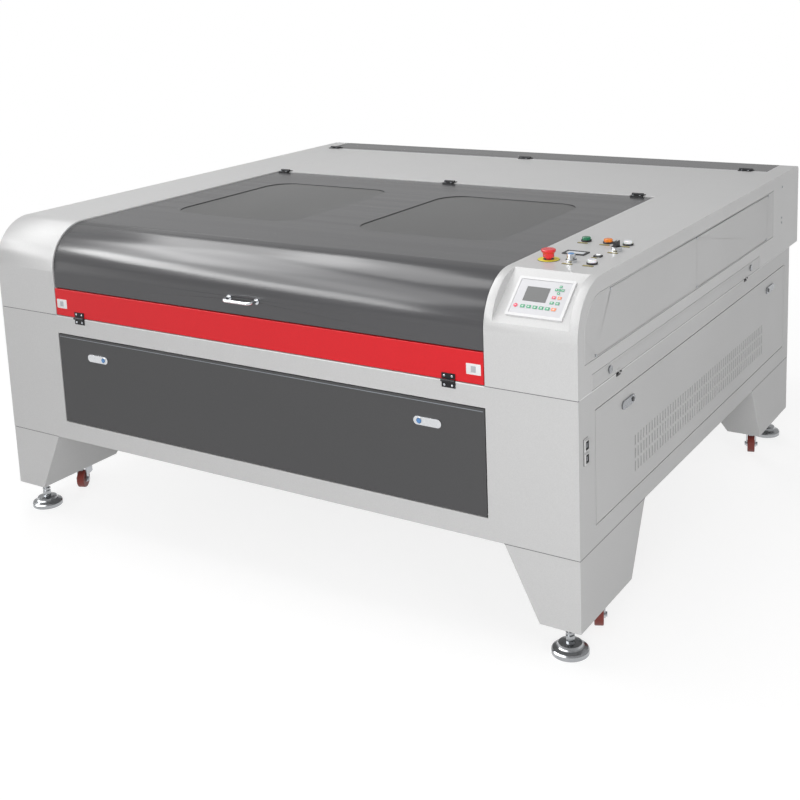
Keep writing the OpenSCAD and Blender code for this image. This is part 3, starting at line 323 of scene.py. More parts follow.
# %% Lid coat
lid_coat, tree, shader = new_finish("dark_grey_lid_coat")
spot = add_node(tree, "ShaderNodeTexCoord").outputs["Object"]
long_way = add_node(tree, "ShaderNodeMapping", {"Scale": (0.35, 22.0, 22.0)}, {"Vector": spot})
streak = add_node(tree, "ShaderNodeTexNoise", {"Scale": 1.0, "Detail": 4.0, "Roughness": 0.6},
                  {"Vector": long_way.outputs[0]})
drift = add_node(tree, "ShaderNodeTexNoise", {"Scale": 1.4, "Detail": 2.0}, {"Vector": spot})
skin = add_node(tree, "ShaderNodeTexNoise", {"Scale": 1 / (5 * MM), "Detail": 2.0}, {"Vector": spot})
base = add_node(tree, "ShaderNodeMix", {6: linear("#4e4e50"), 7: linear("#48484a")}, {0: drift.outputs[0]},
                data_type="RGBA")
sheen = add_node(tree, "ShaderNodeMapRange",
                 {"From Min": 0.3, "From Max": 0.7, "To Min": 0.17, "To Max": 0.25},
                 {"Value": streak.outputs[0]})
hills = add_node(tree, "ShaderNodeMath", {1: 3.0}, {0: streak.outputs[0], 2: skin.outputs[0]},
                 operation="MULTIPLY_ADD")
relief = add_node(tree, "ShaderNodeBump", {"Strength": 0.12, "Distance": 0.6 * MM},
                  {"Height": hills.outputs[0]})
tree.links.new(base.outputs[2], shader.inputs["Base Color"])
tree.links.new(sheen.outputs[0], shader.inputs["Roughness"])
tree.links.new(relief.outputs[0], shader.inputs["Normal"])
shader.inputs["IOR"].default_value = 1.5
shader.inputs["Specular IOR Level"].default_value = 0.5
print("coat:", lid_coat.name)

# %% [markdown]
# ### Tinted acrylic
# The windows are grey cast acrylic that stops laser light. From a low angle
# the eye gets mostly the room's reflection, and looking down it sees faintly
# into the work space. A little slow relief bends the reflection as a large
# thin pane does.

# %% Window panes
tinted_acrylic, tree, shader = new_finish("tinted_cast_acrylic")
spot = add_node(tree, "ShaderNodeTexCoord").outputs["Object"]
drift = add_node(tree, "ShaderNodeTexNoise", {"Scale": 2.2, "Detail": 2.0}, {"Vector": spot})
tint = add_node(tree, "ShaderNodeMix", {6: linear("#484848"), 7: linear("#424242")}, {0: drift.outputs[0]},
                data_type="RGBA")
haze = add_node(tree, "ShaderNodeMapRange",
                {"From Min": 0.3, "From Max": 0.7, "To Min": 0.14, "To Max": 0.20},
                {"Value": drift.outputs[0]})
relief = add_node(tree, "ShaderNodeBump", {"Strength": 0.06, "Distance": 2 * MM},
                  {"Height": drift.outputs[0]})
tree.links.new(tint.outputs[2], shader.inputs["Base Color"])
tree.links.new(haze.outputs[0], shader.inputs["Roughness"])
tree.links.new(relief.outputs[0], shader.inputs["Normal"])
shader.inputs["IOR"].default_value = 1.49
shader.inputs["Transmission Weight"].default_value = 0.55
shader.inputs["Specular IOR Level"].default_value = 0.23
print("pane:", tinted_acrylic.name)

# %% [markdown]
# ### Metals
# Several finishes of metal are on the machine. Zinc plate on screws, forks and
# shafts is bright with a cloudy spangle, and satin on the latches of the side.
# Chrome is smooth on the handle and satin on the front latches. The turned feet
# keep fine rings from the lathe, and anodised extrusions carry faint lines from
# the die. Black oxide is a dark skin on the steel hinges.

# %% Metal finishes
def plated(name, colour, deep, rough, grain_mm, stretch=(1, 1, 1), relief_mm=0.05, metal=1.0):
    """A metal skin whose clouds are grain_mm wide, stretched along the way it was worked."""
    finish, tree, shader = new_finish(name)
    spot = add_node(tree, "ShaderNodeTexCoord").outputs["Object"]
    worked = add_node(tree, "ShaderNodeMapping", {"Scale": stretch}, {"Vector": spot})
    cloud = add_node(tree, "ShaderNodeTexNoise",
                     {"Scale": 1 / (grain_mm * MM), "Detail": 3.0, "Roughness": 0.6},
                     {"Vector": worked.outputs[0]})
    base = add_node(tree, "ShaderNodeMix", {6: linear(colour), 7: linear(deep)}, {0: cloud.outputs[0]},
                    data_type="RGBA")
    sheen = add_node(tree, "ShaderNodeMapRange",
                     {"From Min": 0.3, "From Max": 0.7, "To Min": max(rough - 0.05, 0.03),
                      "To Max": rough + 0.06},
                     {"Value": cloud.outputs[0]})
    relief = add_node(tree, "ShaderNodeBump", {"Strength": 0.2, "Distance": relief_mm * MM},
                      {"Height": cloud.outputs[0]})
    tree.links.new(base.outputs[2], shader.inputs["Base Color"])
    tree.links.new(sheen.outputs[0], shader.inputs["Roughness"])
    tree.links.new(relief.outputs[0], shader.inputs["Normal"])
    shader.inputs["Metallic"].default_value = metal
    print("metal:", name)
    return finish


print("metal skins come from", plated.__name__)

# %% [markdown]
# Each metal has its colour, the tone of its clouds, its roughness and the width
# of its grain in millimetres. Two are stretched: the turned feet have their
# rings close together along Z, and the extrusions have long lines along X.

# %% Colours of the metals
zinc_plate = plated("bright_zinc_plate", "#c3c6ca", "#a9adb2", 0.30, 6)
chrome_plate = plated("polished_chrome_plate", "#dfe1e4", "#d2d5d8", 0.10, 12)
satin_zinc = plated("satin_zinc_plate", "#a0a2a5", "#8c8f93", 0.26, 8)
satin_chrome = plated("satin_chrome_plate", "#dcdee0", "#cdcfd2", 0.20, 8)
turned_steel = plated("turned_nickel_plated_steel", "#b9bbbd", "#9d9fa2", 0.20, 5, (1, 1, 6))
drawn_aluminium = plated("clear_anodised_aluminium", "#c6c8cb", "#b8babd", 0.34, 4, (0.02, 1, 1))
red_aluminium = plated("red_anodised_aluminium", "#a3242c", "#8f1d26", 0.34, 4)
black_plate = plated("black_oxide_steel", "#1d1d1f", "#262628", 0.42, 3, metal=0.6)

# %% [markdown]
# ### Plastics and film
# Buttons are injection moulded: a full colour with a soft gloss and a very
# fine matt skin. The key sheet is printed film, the wheels are cast nylon with
# a cloudy red brown, the housings of the drives are enamelled, and filter mat
# has open cells with no gloss. The dark strips in the seams are matt as well:
# they are painted shade, the shadow line between the shells. All of them need
# the same network, a fine grain under a slow cloud, so one function makes them.
# The grain of the real skins is below 0.1 mm, and it is drawn 1.5 to 3 mm wide
# so that it shows.

# %% Moulded finishes
def moulded(name, colour, deep, rough, grain_mm=1.5, relief_mm=0.05, subsurface=0.0):
    """A moulded plastic skin with grain_mm texture, as the tool's surface leaves it."""
    finish, tree, shader = new_finish(name)
    spot = add_node(tree, "ShaderNodeTexCoord").outputs["Object"]
    grain = add_node(tree, "ShaderNodeTexNoise", {"Scale": 1 / (grain_mm * MM), "Detail": 2.0},
                     {"Vector": spot})
    cloud = add_node(tree, "ShaderNodeTexNoise", {"Scale": 1 / (14 * MM), "Detail": 2.0}, {"Vector": spot})
    base = add_node(tree, "ShaderNodeMix", {6: linear(colour), 7: linear(deep)}, {0: cloud.outputs[0]},
                    data_type="RGBA")
    sheen = add_node(tree, "ShaderNodeMapRange",
                     {"From Min": 0.3, "From Max": 0.7, "To Min": rough - 0.03, "To Max": rough + 0.05},
                     {"Value": grain.outputs[0]})
    relief = add_node(tree, "ShaderNodeBump", {"Strength": 0.25, "Distance": relief_mm * MM},
                      {"Height": grain.outputs[0]})
    tree.links.new(base.outputs[2], shader.inputs["Base Color"])
    tree.links.new(sheen.outputs[0], shader.inputs["Roughness"])
    tree.links.new(relief.outputs[0], shader.inputs["Normal"])
    shader.inputs["IOR"].default_value = 1.5
    shader.inputs["Subsurface Weight"].default_value = subsurface
    print("moulded:", name)
    return finish


print("moulded skins come from", moulded.__name__)

# %% [markdown]
# Each moulded, printed, cast or foamed part has its colour, the tone that the
# cloud drifts to, and its roughness. Lenses are smoother than housings, and
# the white ones scatter a little light, as a lit button does.

# %% Colours of the moulded parts
black_abs = moulded("matt_black_abs", "#262628", "#1f1f21", 0.45)
white_abs = moulded("white_abs", "#ececec", "#e4e4e5", 0.28)
frame_abs = moulded("grey_white_abs", "#dadadb", "#d5d5d6", 0.32)
white_lens = moulded("white_polycarbonate_lens", "#f4f4f6", "#e9e9ec", 0.16, subsurface=0.1)
blue_abs = moulded("blue_grey_abs", "#5f8fc4", "#4f7fb8", 0.30)
red_abs = moulded("red_abs", "#e2383e", "#d82d34", 0.26)
green_lens = moulded("green_polycarbonate_lens", "#1f7d57", "#166a47", 0.18)
orange_lens = moulded("orange_polycarbonate_lens", "#f08a2a", "#e87a1c", 0.18)
yellow_film = moulded("yellow_printed_film", "#e9e63a", "#dedb30", 0.40)
olive_film = moulded("brass_toned_legend_film", "#a89a4e", "#948844", 0.36)
grey_film = moulded("grey_printed_film", "#b9bcc0", "#adb0b5", 0.40)
key_film = moulded("grey_white_membrane_film", "#c9c9cc", "#c4c4c8", 0.38)
key_green = moulded("green_printed_key", "#2c9a6c", "#258c60", 0.34)
key_red = moulded("red_printed_key", "#dd3657", "#cf2c4c", 0.34)
key_orange = moulded("orange_printed_key", "#ef8250", "#e57742", 0.34)
red_nylon = moulded("dark_red_cast_nylon", "#8a4038", "#6e2f2a", 0.40, 3, 0.15)
grey_enamel = moulded("grey_enamelled_steel", "#8b9096", "#80858b", 0.35, 3)
# A dark matt strip finish that draws the shadow line of the seams: painted shade.
painted_seam_shade = moulded("painted_seam_shade_dark_grey", "#6c6c6e", "#646466", 0.85, 2, 0.2)
filter_mat = moulded("grey_filter_mat", "#a9a9a9", "#9f9f9f", 0.90, 3, 0.6)

# %% [markdown]
# ### Glass of the tube and of the display
# The laser tube is borosilicate glass, drawn from the melt, with a second glass
# jacket for the water. It is clear with a faint blue green, and slow waves from
# the drawing bend what is seen through it.

# %% Glass of the laser tube
tube_glass, tree, shader = new_finish("borosilicate_glass")
spot = add_node(tree, "ShaderNodeTexCoord").outputs["Object"]
draw = add_node(tree, "ShaderNodeTexNoise", {"Scale": 9.0, "Detail": 2.0}, {"Vector": spot})
tint = add_node(tree, "ShaderNodeMix", {6: linear("#e9f4f6"), 7: linear("#dfeef1")}, {0: draw.outputs[0]},
                data_type="RGBA")
relief = add_node(tree, "ShaderNodeBump", {"Strength": 0.1, "Distance": 1 * MM},
                  {"Height": draw.outputs[0]})
tree.links.new(tint.outputs[2], shader.inputs["Base Color"])
tree.links.new(relief.outputs[0], shader.inputs["Normal"])
shader.inputs["Roughness"].default_value = 0.04
shader.inputs["IOR"].default_value = 1.47
shader.inputs["Transmission Weight"].default_value = 0.85
print("glass:", tube_glass.name)

# %% [markdown]
# The display of the keypad is a dull grey liquid crystal behind a clear film.
# Its cells form a square grid, which at 1.2 mm shows only from near, so an even
# cell pattern with no randomness draws it.

# %% Display
display_glass, tree, shader = new_finish("grey_liquid_crystal_display")
spot = add_node(tree, "ShaderNodeTexCoord").outputs["Object"]
cells = add_node(tree, "ShaderNodeTexVoronoi", {"Scale": 1 / (1.2 * MM), "Randomness": 0.0},
                 {"Vector": spot}, distance="CHEBYCHEV")
panel = add_node(tree, "ShaderNodeMix", {6: linear("#737474"), 7: linear("#6e6f6f")},
                 {0: cells.outputs[0]}, data_type="RGBA")
tree.links.new(panel.outputs[2], shader.inputs["Base Color"])
shader.inputs["Roughness"].default_value = 0.35
shader.inputs["IOR"].default_value = 1.5
shader.inputs["Specular IOR Level"].default_value = 0.2
print("display:", display_glass.name)

# %% [markdown]
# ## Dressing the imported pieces
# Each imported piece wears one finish. They could be given one by one, but a
# table of finishes with the pieces that wear them shows at a glance what is
# painted alike.

# %% Table of finishes
corners = ("fl", "fr", "rl", "rr")
wanted = {
    light_grey_coat: ["lower_cabinet", "legs", "access_panel", "back_panel", "side_door", "strip_door"],
    off_white_coat: ["left_wing", "right_wing", "rear_housing"],
    dark_grey_coat: ["front_door"],
    lid_coat: ["lid_shell", "tube_cover"],
    red_coat: ["front_flap"],
    tinted_acrylic: ["lid_windows"],
    black_plate: ["hinge_plates", "lid_hinge_leaves", "flap_hinge_leaves", "cover_hinge_leaves"],
    chrome_plate: ["lid_handle", "key_barrel"],
    satin_zinc: ["side_latch_plates", "strip_lock_front", "strip_lock_rear"],
    satin_chrome: ["front_latch_plates"],
    zinc_plate: ["fasteners", "caster_plates", "lift_screws", "y_drive_shaft"]
                + ["caster_fork_" + corner for corner in corners],
    turned_steel: ["foot_" + corner for corner in corners],
    drawn_aluminium: ["y_rails", "gantry_beam", "work_table"],
    red_aluminium: ["laser_head"],
    black_abs: ["panel_bezels", "y_drive", "selector_knob",
                "side_latch_button_front", "side_latch_button_rear"],
    frame_abs: ["keypad_frame"],
    white_lens: ["button_start", "button_white"],
    key_film: ["keypad_overlay"],
    blue_abs: ["front_latch_button_left", "front_latch_button_right"],
    red_abs: ["stop_button"],
    green_lens: ["button_green"],
    orange_lens: ["button_orange"],
    tube_glass: ["laser_tube"],
    grey_enamel: ["electronics"],
    red_nylon: ["caster_wheel_" + corner for corner in corners],
}
print("finishes:", len(wanted))

# %% [markdown]
# A finish is put in the material slots of the piece's object and not of its
# mesh, so that the mesh stays as it was packed.

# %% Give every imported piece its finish
dressed = 0
for finish, names in wanted.items():
    for name in names:
        for slot in nodes[name].material_slots:
            slot.link = "OBJECT"
            slot.material = finish
        dressed += 1
print("packed pieces dressed:", dressed, "of", len(nodes))

# %% [markdown]
# Folded sheet has a small radius on every edge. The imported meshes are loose
# triangles and stay as they are, so modifiers do it: a weld joins the
# triangles, and a bevel of about a millimetre then catches the light along the
# seams. Hardened normals keep a flat face flat up to its rounded edge. On the
# access panel they drew a crease across the face, so it does without them.

# %% Round the folded edges
edge_radius = {
    "lower_cabinet": 2.0, "legs": 2.2, "left_wing": 1.5, "right_wing": 1.5, "rear_housing": 1.2,
    "lid_shell": 0.9, "front_flap": 1.8, "tube_cover": 0.9, "front_door": 1.6, "side_door": 0.7,
    "access_panel": 1.0, "strip_door": 0.5, "keypad_frame": 1.2, "back_panel": 0.8,
    "gantry_beam": 0.8, "work_table": 0.6, "electronics": 1.5, "laser_head": 0.8,
    "front_latch_plates": 0.9, "side_latch_plates": 0.9, "selector_knob": 0.8, "keypad_overlay": 0.3,
}
for name, radius in edge_radius.items():
    weld = nodes[name].modifiers.new("weld", "WELD")
    weld.merge_threshold = 0.00001
    fold = nodes[name].modifiers.new("fold", "BEVEL")
    fold.width = radius * MM
    fold.segments = 2
    fold.limit_method = "ANGLE"
    fold.angle_limit = math.radians(40)
    fold.harden_normals = name != "access_panel"
print("pieces with rounded edges:", len(edge_radius))

# %% [markdown]
# ## Modelling small parts
# The small parts are modelled by hand: a primitive gets its size, faces or
# edges are picked by where they are or where they point, and extrude, inset
# and bevel shape them. What repeats is modelled once at the middle of the
# world with its outer side up, then copied to each place and joined. Each part
# starts as a box or a short cylinder with its true size.

# %% Boxes and discs to start from
def deselect():
    """Leaves edit mode and clears the selection, so that an operator acts on one piece only."""
    if bpy.context.object and bpy.context.object.mode != "OBJECT":
        bpy.ops.object.mode_set(mode="OBJECT")
    bpy.ops.object.select_all(action="DESELECT")


def new_piece(name):
    """Names the primitive that was just added and applies its size."""
    piece = bpy.context.object
    piece.name = name
    piece.data.name = name
    bpy.ops.object.transform_apply(location=True, rotation=True, scale=True)
    return piece


def block(name, low, high):
    """A box between two corners, given in millimetres."""
    deselect()
    bpy.ops.mesh.primitive_cube_add(size=1, location=[(a + b) / 2 * MM for a, b in zip(low, high)])
    bpy.context.object.scale = [(b - a) * MM for a, b in zip(low, high)]
    return new_piece(name)


def disc(name, radius, low, high, sides=24):
    """A short cylinder round Z between two heights, in millimetres."""
    deselect()
    middle_height = (low + high) / 2 * MM
    bpy.ops.mesh.primitive_cylinder_add(
        vertices=sides, radius=radius * MM, depth=(high - low) * MM, location=(0, 0, middle_height))
    return new_piece(name)


print("primitives:", block.__name__, disc.__name__)

# %% [markdown]
# An operator shapes whatever is selected. A test on the middle and the direction
# of a face or an edge picks it as a hand would, and goes on working when a size
# changes. A bevel with an angle limit finds the sharp edges by itself.

# %% Pick, lift and soften
def pick(piece, kind, test):
    """Enters edit mode with the faces or edges selected that pass test(middle in mm, direction)."""
    bpy.ops.object.mode_set(mode="EDIT")
    bpy.ops.mesh.select_mode(type=kind)
    bpy.ops.mesh.select_all(action="DESELECT")
    bpy.ops.object.mode_set(mode="OBJECT")
    mesh = piece.data
    if kind == "FACE":
        for face in mesh.polygons:
            face.select = bool(test(face.center / MM, face.normal))
    else:
        for line in mesh.edges:
            a, b = (mesh.vertices[i].co for i in line.vertices)
            line.select = bool(test((a + b) / 2 / MM, (b - a).normalized()))
    bpy.ops.object.mode_set(mode="EDIT")


def lift(distance):
    """Moves the picked faces along Z by a distance in millimetres."""
    bpy.ops.transform.translate(value=(0, 0, distance * MM))


def soften(piece, width, angle=40, segments=2):
    """Rounds the sharp edges by a width in millimetres with an applied bevel."""
    deselect()
    piece.select_set(True)
    bpy.context.view_layer.objects.active = piece
    fold = piece.modifiers.new("soft_edges", "BEVEL")
    fold.width, fold.segments = width * MM, segments
    fold.limit_method, fold.angle_limit = "ANGLE", math.radians(angle)
    bpy.ops.object.modifier_apply(modifier=fold.name)


print("shaping:", pick.__name__, lift.__name__, soften.__name__)

# %% [markdown]
# Three steps come back on most small parts, so each has a function. The upright
# edges are rounded to a radius. The top is inset and what is left of it raised
# or sunk, once or more, for a rim, a dome or a well. An open sheet gets its
# thickness, and its faces are then turned outwards.

# %% Corners, steps and thickness
def round_corners(piece, radius, segments):
    """Rounds the upright edges by a radius in millimetres."""
    pick(piece, "EDGE", lambda at, n: abs(n.z) > 0.9)
    bpy.ops.mesh.bevel(offset=radius * MM, segments=segments)


def step_top(piece, *steps, each=False):
    """Insets the top and lifts what is left, for every (inset, rise) in millimetres."""
    pick(piece, "FACE", lambda at, n: n.z > 0.9)
    for inset, rise in steps:
        bpy.ops.mesh.inset(thickness=inset * MM, use_individual=each)
        lift(rise)


def thicken(piece, thickness, offset=0):
    """Gives a sheet its thickness in millimetres and turns its faces outwards."""
    sheet = piece.modifiers.new("sheet", "SOLIDIFY")
    sheet.thickness, sheet.offset = thickness * MM, offset
    bpy.ops.object.modifier_apply(modifier=sheet.name)
    pick(piece, "FACE", lambda at, n: True)
    bpy.ops.mesh.normals_make_consistent(inside=False)
    deselect()


print("steps:", round_corners.__name__, step_top.__name__, thicken.__name__)

# %% [markdown]
# A place is one matrix: it turns a part that was modelled with its outer side
# up to the face it sits on, and moves it there. Every copy gets its own mesh and
# has its place applied, so that the finished piece sits at the middle of the
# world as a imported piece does.

# %% Places and copies
def place(x, y, z, facing="+Z", turn=0, scale=1):
    """Where a part that was modelled with its outer side up is to sit, in metres."""
    turns = {"+Z": Matrix.Identity(4), "-Z": Matrix.Rotation(math.pi, 4, "X"),
             "-Y": Matrix.Rotation(math.pi / 2, 4, "X"), "+Y": Matrix.Rotation(-math.pi / 2, 4, "X"),
             "+X": Matrix.Rotation(math.pi / 2, 4, "Y"), "-X": Matrix.Rotation(-math.pi / 2, 4, "Y")}
    turned = turns[facing] @ Matrix.Rotation(turn, 4, "Z")
    return Matrix.Translation((x, y, z)) @ turned @ Matrix.Scale(scale, 4)


def copies(piece, name, places):
    """One mesh copy of the piece at each place, joined into a new piece."""
    deselect()
    made = []
    for where in places:
        copy = piece.copy()
        copy.data = piece.data.copy()
        copy.matrix_world = where
        bpy.context.collection.objects.link(copy)
        made.append(copy)
    bpy.context.view_layer.update()
    for copy in made:
        copy.select_set(True)
    bpy.context.view_layer.objects.active = made[0]
    bpy.ops.object.transform_apply(location=True, rotation=True, scale=True)
    if len(made) > 1:
        bpy.ops.object.join()
    joined = bpy.context.object
    joined.name = name
    joined.data.name = name
    return joined


print("placing:", place.__name__, copies.__name__)

# %% [markdown]
# Last, a piece gets its finish, smooth shading up to an angle, and the body that
# carries it. Most parts are fitted in one go: the pattern is copied to its
# places, the copies are dressed, and the pattern is then taken away.

# %% Finish and body of a piece
def dress(piece, finish, body, angle=35):
    """Gives a piece its finish, smooths its soft edges and lets it ride on a body."""
    deselect()
    piece.select_set(True)
    bpy.context.view_layer.objects.active = piece
    piece.data.materials.clear()
    piece.data.materials.append(finish)
    bpy.ops.object.shade_smooth_by_angle(angle=math.radians(angle))
    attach(piece, body)
    print(piece.name, "faces", len(piece.data.polygons), "on", body)


def fit(pattern, name, places, finish, body, angle=35):
    """Copies a pattern to its places as one piece and dresses that piece."""
    dress(copies(pattern, name, places), finish, body, angle)


def remove(piece):
    """Takes away a pattern once its copies are made."""
    bpy.data.objects.remove(piece)


print("finishing:", dress.__name__, fit.__name__, remove.__name__)

# %% [markdown]
# ## Hinge screws
# Every hinge leaf is held by two pan head screws with a hexagon socket. The
# head could be a plain disc, but its dome and its socket catch a small light,
# which is what the eye takes for a screw. One head is modelled: a disc, its top
# inset and raised for the dome, then a round well sunk in the middle for the
# socket.

# %% Model one pan head screw
screw = disc("pan_head_screw", 3.1, -0.4, 1.2, 24)
step_top(screw, (0.8, 0.5), (0.9, 0.1), (0.12, -0.9))
soften(screw, 0.15, 60, 1)
print("screw faces:", len(screw.data.polygons))

# %% [markdown]
# The lid has three hinges, the tube cover three and the flap two. One leaf of
# each hinge is fixed and the other moves, so the screws are joined into one
# piece for each body: those on the frame, the lid, the cover and the flap.

# %% Set the screws on the leaves
leaf, to_screws = 2.2 * MM, 13 * MM  # a leaf's thickness, and from its pin to its screws
apart = 12 * MM  # from the middle of a leaf to each of its screws, along the pin
lid_line = edge("lid_shell", 1, "Y") + 1 * MM  # the pins of the lid and of the cover
cover_line = tube_wall + 12.5 * MM
lid_x = [-(opening - 34 * MM), 0, opening - 62 * MM]  # the middles of the hinges
cover_end, flap_hinge = side - 68 * MM, opening - 109 * MM
cover_x = [-(cover_end - 40 * MM), 0, cover_end - 80 * MM]
flap_x = [-flap_hinge, flap_hinge]


def pair(xs, y, z, facing="+Z"):
    """Two places beside the middle of each hinge, with the sockets turned differently."""
    return [place(x + s * apart, y, z, facing, 0.4 * s) for x in xs for s in (-1, 1)]


fixed = pair(lid_x, lid_line + to_screws, top + leaf) + pair(cover_x, cover_line - 12.5 * MM, top + leaf)
fixed += pair(flap_x, front - leaf, seam - 12.5 * MM, "-Y")
fit(screw, "hinge_screws_fixed", fixed, zinc_plate, "frame")
fit(screw, "hinge_screws_lid", pair(lid_x, lid_line - to_screws, top + leaf), zinc_plate, "lid")
fit(screw, "hinge_screws_cover", pair(cover_x, cover_line + to_screws, top + leaf), zinc_plate, "cover")
fit(screw, "hinge_screws_flap", pair(flap_x, front - leaf, seam + 13.5 * MM, "-Y"), zinc_plate, "flap")

# %% [markdown]
# ## Legend plates and the stop plate
# In front of each control lies a small brass-toned plate that names it. A plain
# block would do for its size, but blank engraving stock has round corners and a
# raised rim, which catch the light. The plates stay bare.

# %% Legend plates
columns = [side - c * MM for c in (196, 129, 69)]
row_front, row_rear = front + 245 * MM, front + 490 * MM
selector_at = (columns[2], row_front + 163 * MM)
controls = [(x, row_rear) for x in columns]
controls += [(columns[2], row_front), (columns[1], row_front), selector_at]
legend = block("legend_plate", (-14.6, -4.2, 0), (14.6, 4.2, 0.5))
round_corners(legend, 1.2, 3)
step_top(legend, (0.7, -0.2))
to_plate, on_deck, smaller = 26.5 * MM, top + 0.8 * MM, 0.6
plates = [place(x, y - to_plate, on_deck) for x, y in controls]
plates.append(place(side - 92 * MM, front + 309 * MM, on_deck, "+Z", 0, smaller))
fit(legend, "legend_plates", plates, olive_film, "frame")
remove(legend)

# %% [markdown]
# The stop button stands on a round yellow plate, bare here too. It could be a
# disc with a bore cut out of it, but a ring is simpler: the edge of a circle is
# extruded inwards, and the flat ring gets a thickness.

# %% Yellow stop plate
deselect()
plate_radius, bore_radius = 29.6, 15.3
bpy.ops.mesh.primitive_circle_add(vertices=72, radius=plate_radius * MM)
ring = new_piece("stop_plate")
bpy.ops.object.mode_set(mode="EDIT")
bpy.ops.mesh.select_all(action="SELECT")
bpy.ops.mesh.extrude_edges_move()
inwards = bore_radius / plate_radius
bpy.ops.transform.resize(value=(inwards, inwards, 1), center_override=(0, 0, 0))
bpy.ops.object.mode_set(mode="OBJECT")
thicken(ring, 0.7, 1)
soften(ring, 0.2, 60, 1)
fit(ring, "stop_plate_yellow", [place(columns[0], row_front, top + 1.25 * MM)], yellow_film, "frame")
remove(ring)

# %% [markdown]
# ## Keypad
# The controller is a membrane keypad: one film over a display and raised keys,
# set in the sloping face of the console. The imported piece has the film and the
# raised places. What is printed on them is laid out flat, in millimetres from
# the middle of the keypad, and one function turns each place by the slope.

# %% Places on the console
slope = math.atan2(117, 140)
pad = Vector((side - 133 * MM, front + 70 * MM, top - 58.5 * MM))


def on_pad(x, y, z=0, turn=0, scale=1):
    """A place on the keypad, in millimetres from its middle, z above the console face."""
    spot = Matrix.Translation((x * MM, y * MM, z * MM)) @ Matrix.Rotation(turn, 4, "Z")
    return Matrix.Translation(pad) @ Matrix.Rotation(slope, 4, "X") @ spot @ Matrix.Scale(scale, 4)


print("console slope", round(math.degrees(slope), 1), "degrees")

# %% [markdown]
# ### Keys
# The keys are green, red and orange. Their colours could be painted on the film
# by a material, but thin caps with rounded corners on the raised places stay
# crisp from near. There are four patterns: a small key for the arrows, a plain
# one, a wide one for the bottom row and a round one.

# %% Printed keys
def key_cap(name, width, height):
    """A thin printed cap with rounded corners."""
    cap = block(name, (-width / 2, -height / 2, 0), (width / 2, height / 2, 0.35))
    round_corners(cap, 1.1, 4)
    step_top(cap, (0.35, 0.12))
    return cap


arrow_key = key_cap("arrow_key", 7.8, 7.3)
plain_key = key_cap("plain_key", 10.8, 8.3)
wide_key = key_cap("wide_key", 12.8, 9.3)
round_key = disc("round_key", 5.9, 0, 0.35, 36)
step_top(round_key, (0.4, 0.12))
key_top = 4.7
arrows = [(44, 40), (35, 29.5), (44, 29.5), (53, 29.5), (44, 19)]
row = [(-40 + 17.6 * i, -31) for i in range(6)]
fit(arrow_key, "keys_green_arrows", [on_pad(x, y, key_top) for x, y in arrows], key_green, "frame")
fit(plain_key, "keys_green_pair", [on_pad(x, -12, key_top) for x in (36, 52)], key_green, "frame")
fit(wide_key, "keys_green_row", [on_pad(x, y, key_top) for x, y in row[:5]], key_green, "frame")
fit(plain_key, "key_red", [on_pad(36, 5, key_top)], key_red, "frame")
fit(round_key, "key_red_round", [on_pad(-60, -31, key_top)], key_red, "frame")
fit(plain_key, "key_orange", [on_pad(52, 5, key_top)], key_orange, "frame")
fit(wide_key, "key_orange_row", [on_pad(48, -31, key_top)], key_orange, "frame")
for pattern in (arrow_key, plain_key, wide_key, round_key):
    remove(pattern)

# %% [markdown]
# ### Marks
# Each arrow key has a small white triangle, and the others have two short bars
# where the real ones carry words. A triangle is a disc with three sides, and a
# bar is a block with rounded ends.

# %% Marks on the keys
triangle = disc("arrow_mark", 1.9, 0, 0.14, 3)
bar = block("bar_mark", (-2.6, -0.55, 0), (2.6, 0.55, 0.14))
round_corners(bar, 0.4, 2)
mark_top = key_top + 0.45
turns = [0, math.pi / 2, None, -math.pi / 2, math.pi]
heads = [on_pad(x, y, mark_top, t) for (x, y), t in zip(arrows, turns) if t is not None]
bars = [on_pad(x, y + d, mark_top) for x, y in row + [(36, 5), (52, 5), (36, -12), (52, -12)]
        for d in (-1.1, 1.1)]
bars += [on_pad(-60, -31, mark_top)]
fit(triangle, "arrow_marks", heads, white_abs, "frame")
fit(bar, "key_marks", bars, white_abs, "frame")
remove(triangle)
remove(bar)

# %% [markdown]
# ### Display
# The display lies in a shallow window of the film. It is one pane with rounded
# corners and a narrow rim, and its face is sunk a little below the rim, as it
# lies under the film.

# %% Display of the keypad
screen = block("screen_pane", (-32.6, -22.6, 0), (32.6, 22.6, 0.7))
round_corners(screen, 1, 3)
step_top(screen, (0.8, -0.3))
fit(screen, "keypad_display", [on_pad(-15, 9, 3.02)], display_glass, "frame", 4)
remove(screen)

# %% [markdown]
# ## Meter, port and key
# Beside the stop button a black frame holds the pale window of a current
# meter. The window is a thin block whose face is inset and sunk, so that it
# keeps a rim where it meets the frame.

# %% Meter window
meter = block("meter_pane", (-26.6, -13.6, 0), (26.6, 13.6, 1.1))
step_top(meter, (1.5, -0.4))
pick(meter, "EDGE", lambda at, n: at.z > 1.0 and abs(n.z) < 0.1)
bpy.ops.mesh.bevel(offset=0.2 * MM, segments=2)
fit(meter, "meter_window", [place(side - 160 * MM, front + 340 * MM, top + 1.02 * MM)], white_lens, "frame")
remove(meter)

# %% [markdown]
# Next to the meter is a data port with a bright metal shell, and the key switch
# has a blue disc on its end. The shell is a box whose front is inset and pushed
# in, as a drawn socket is, with its tongue left standing in the middle. The disc
# is turned, so it starts as a cylinder.

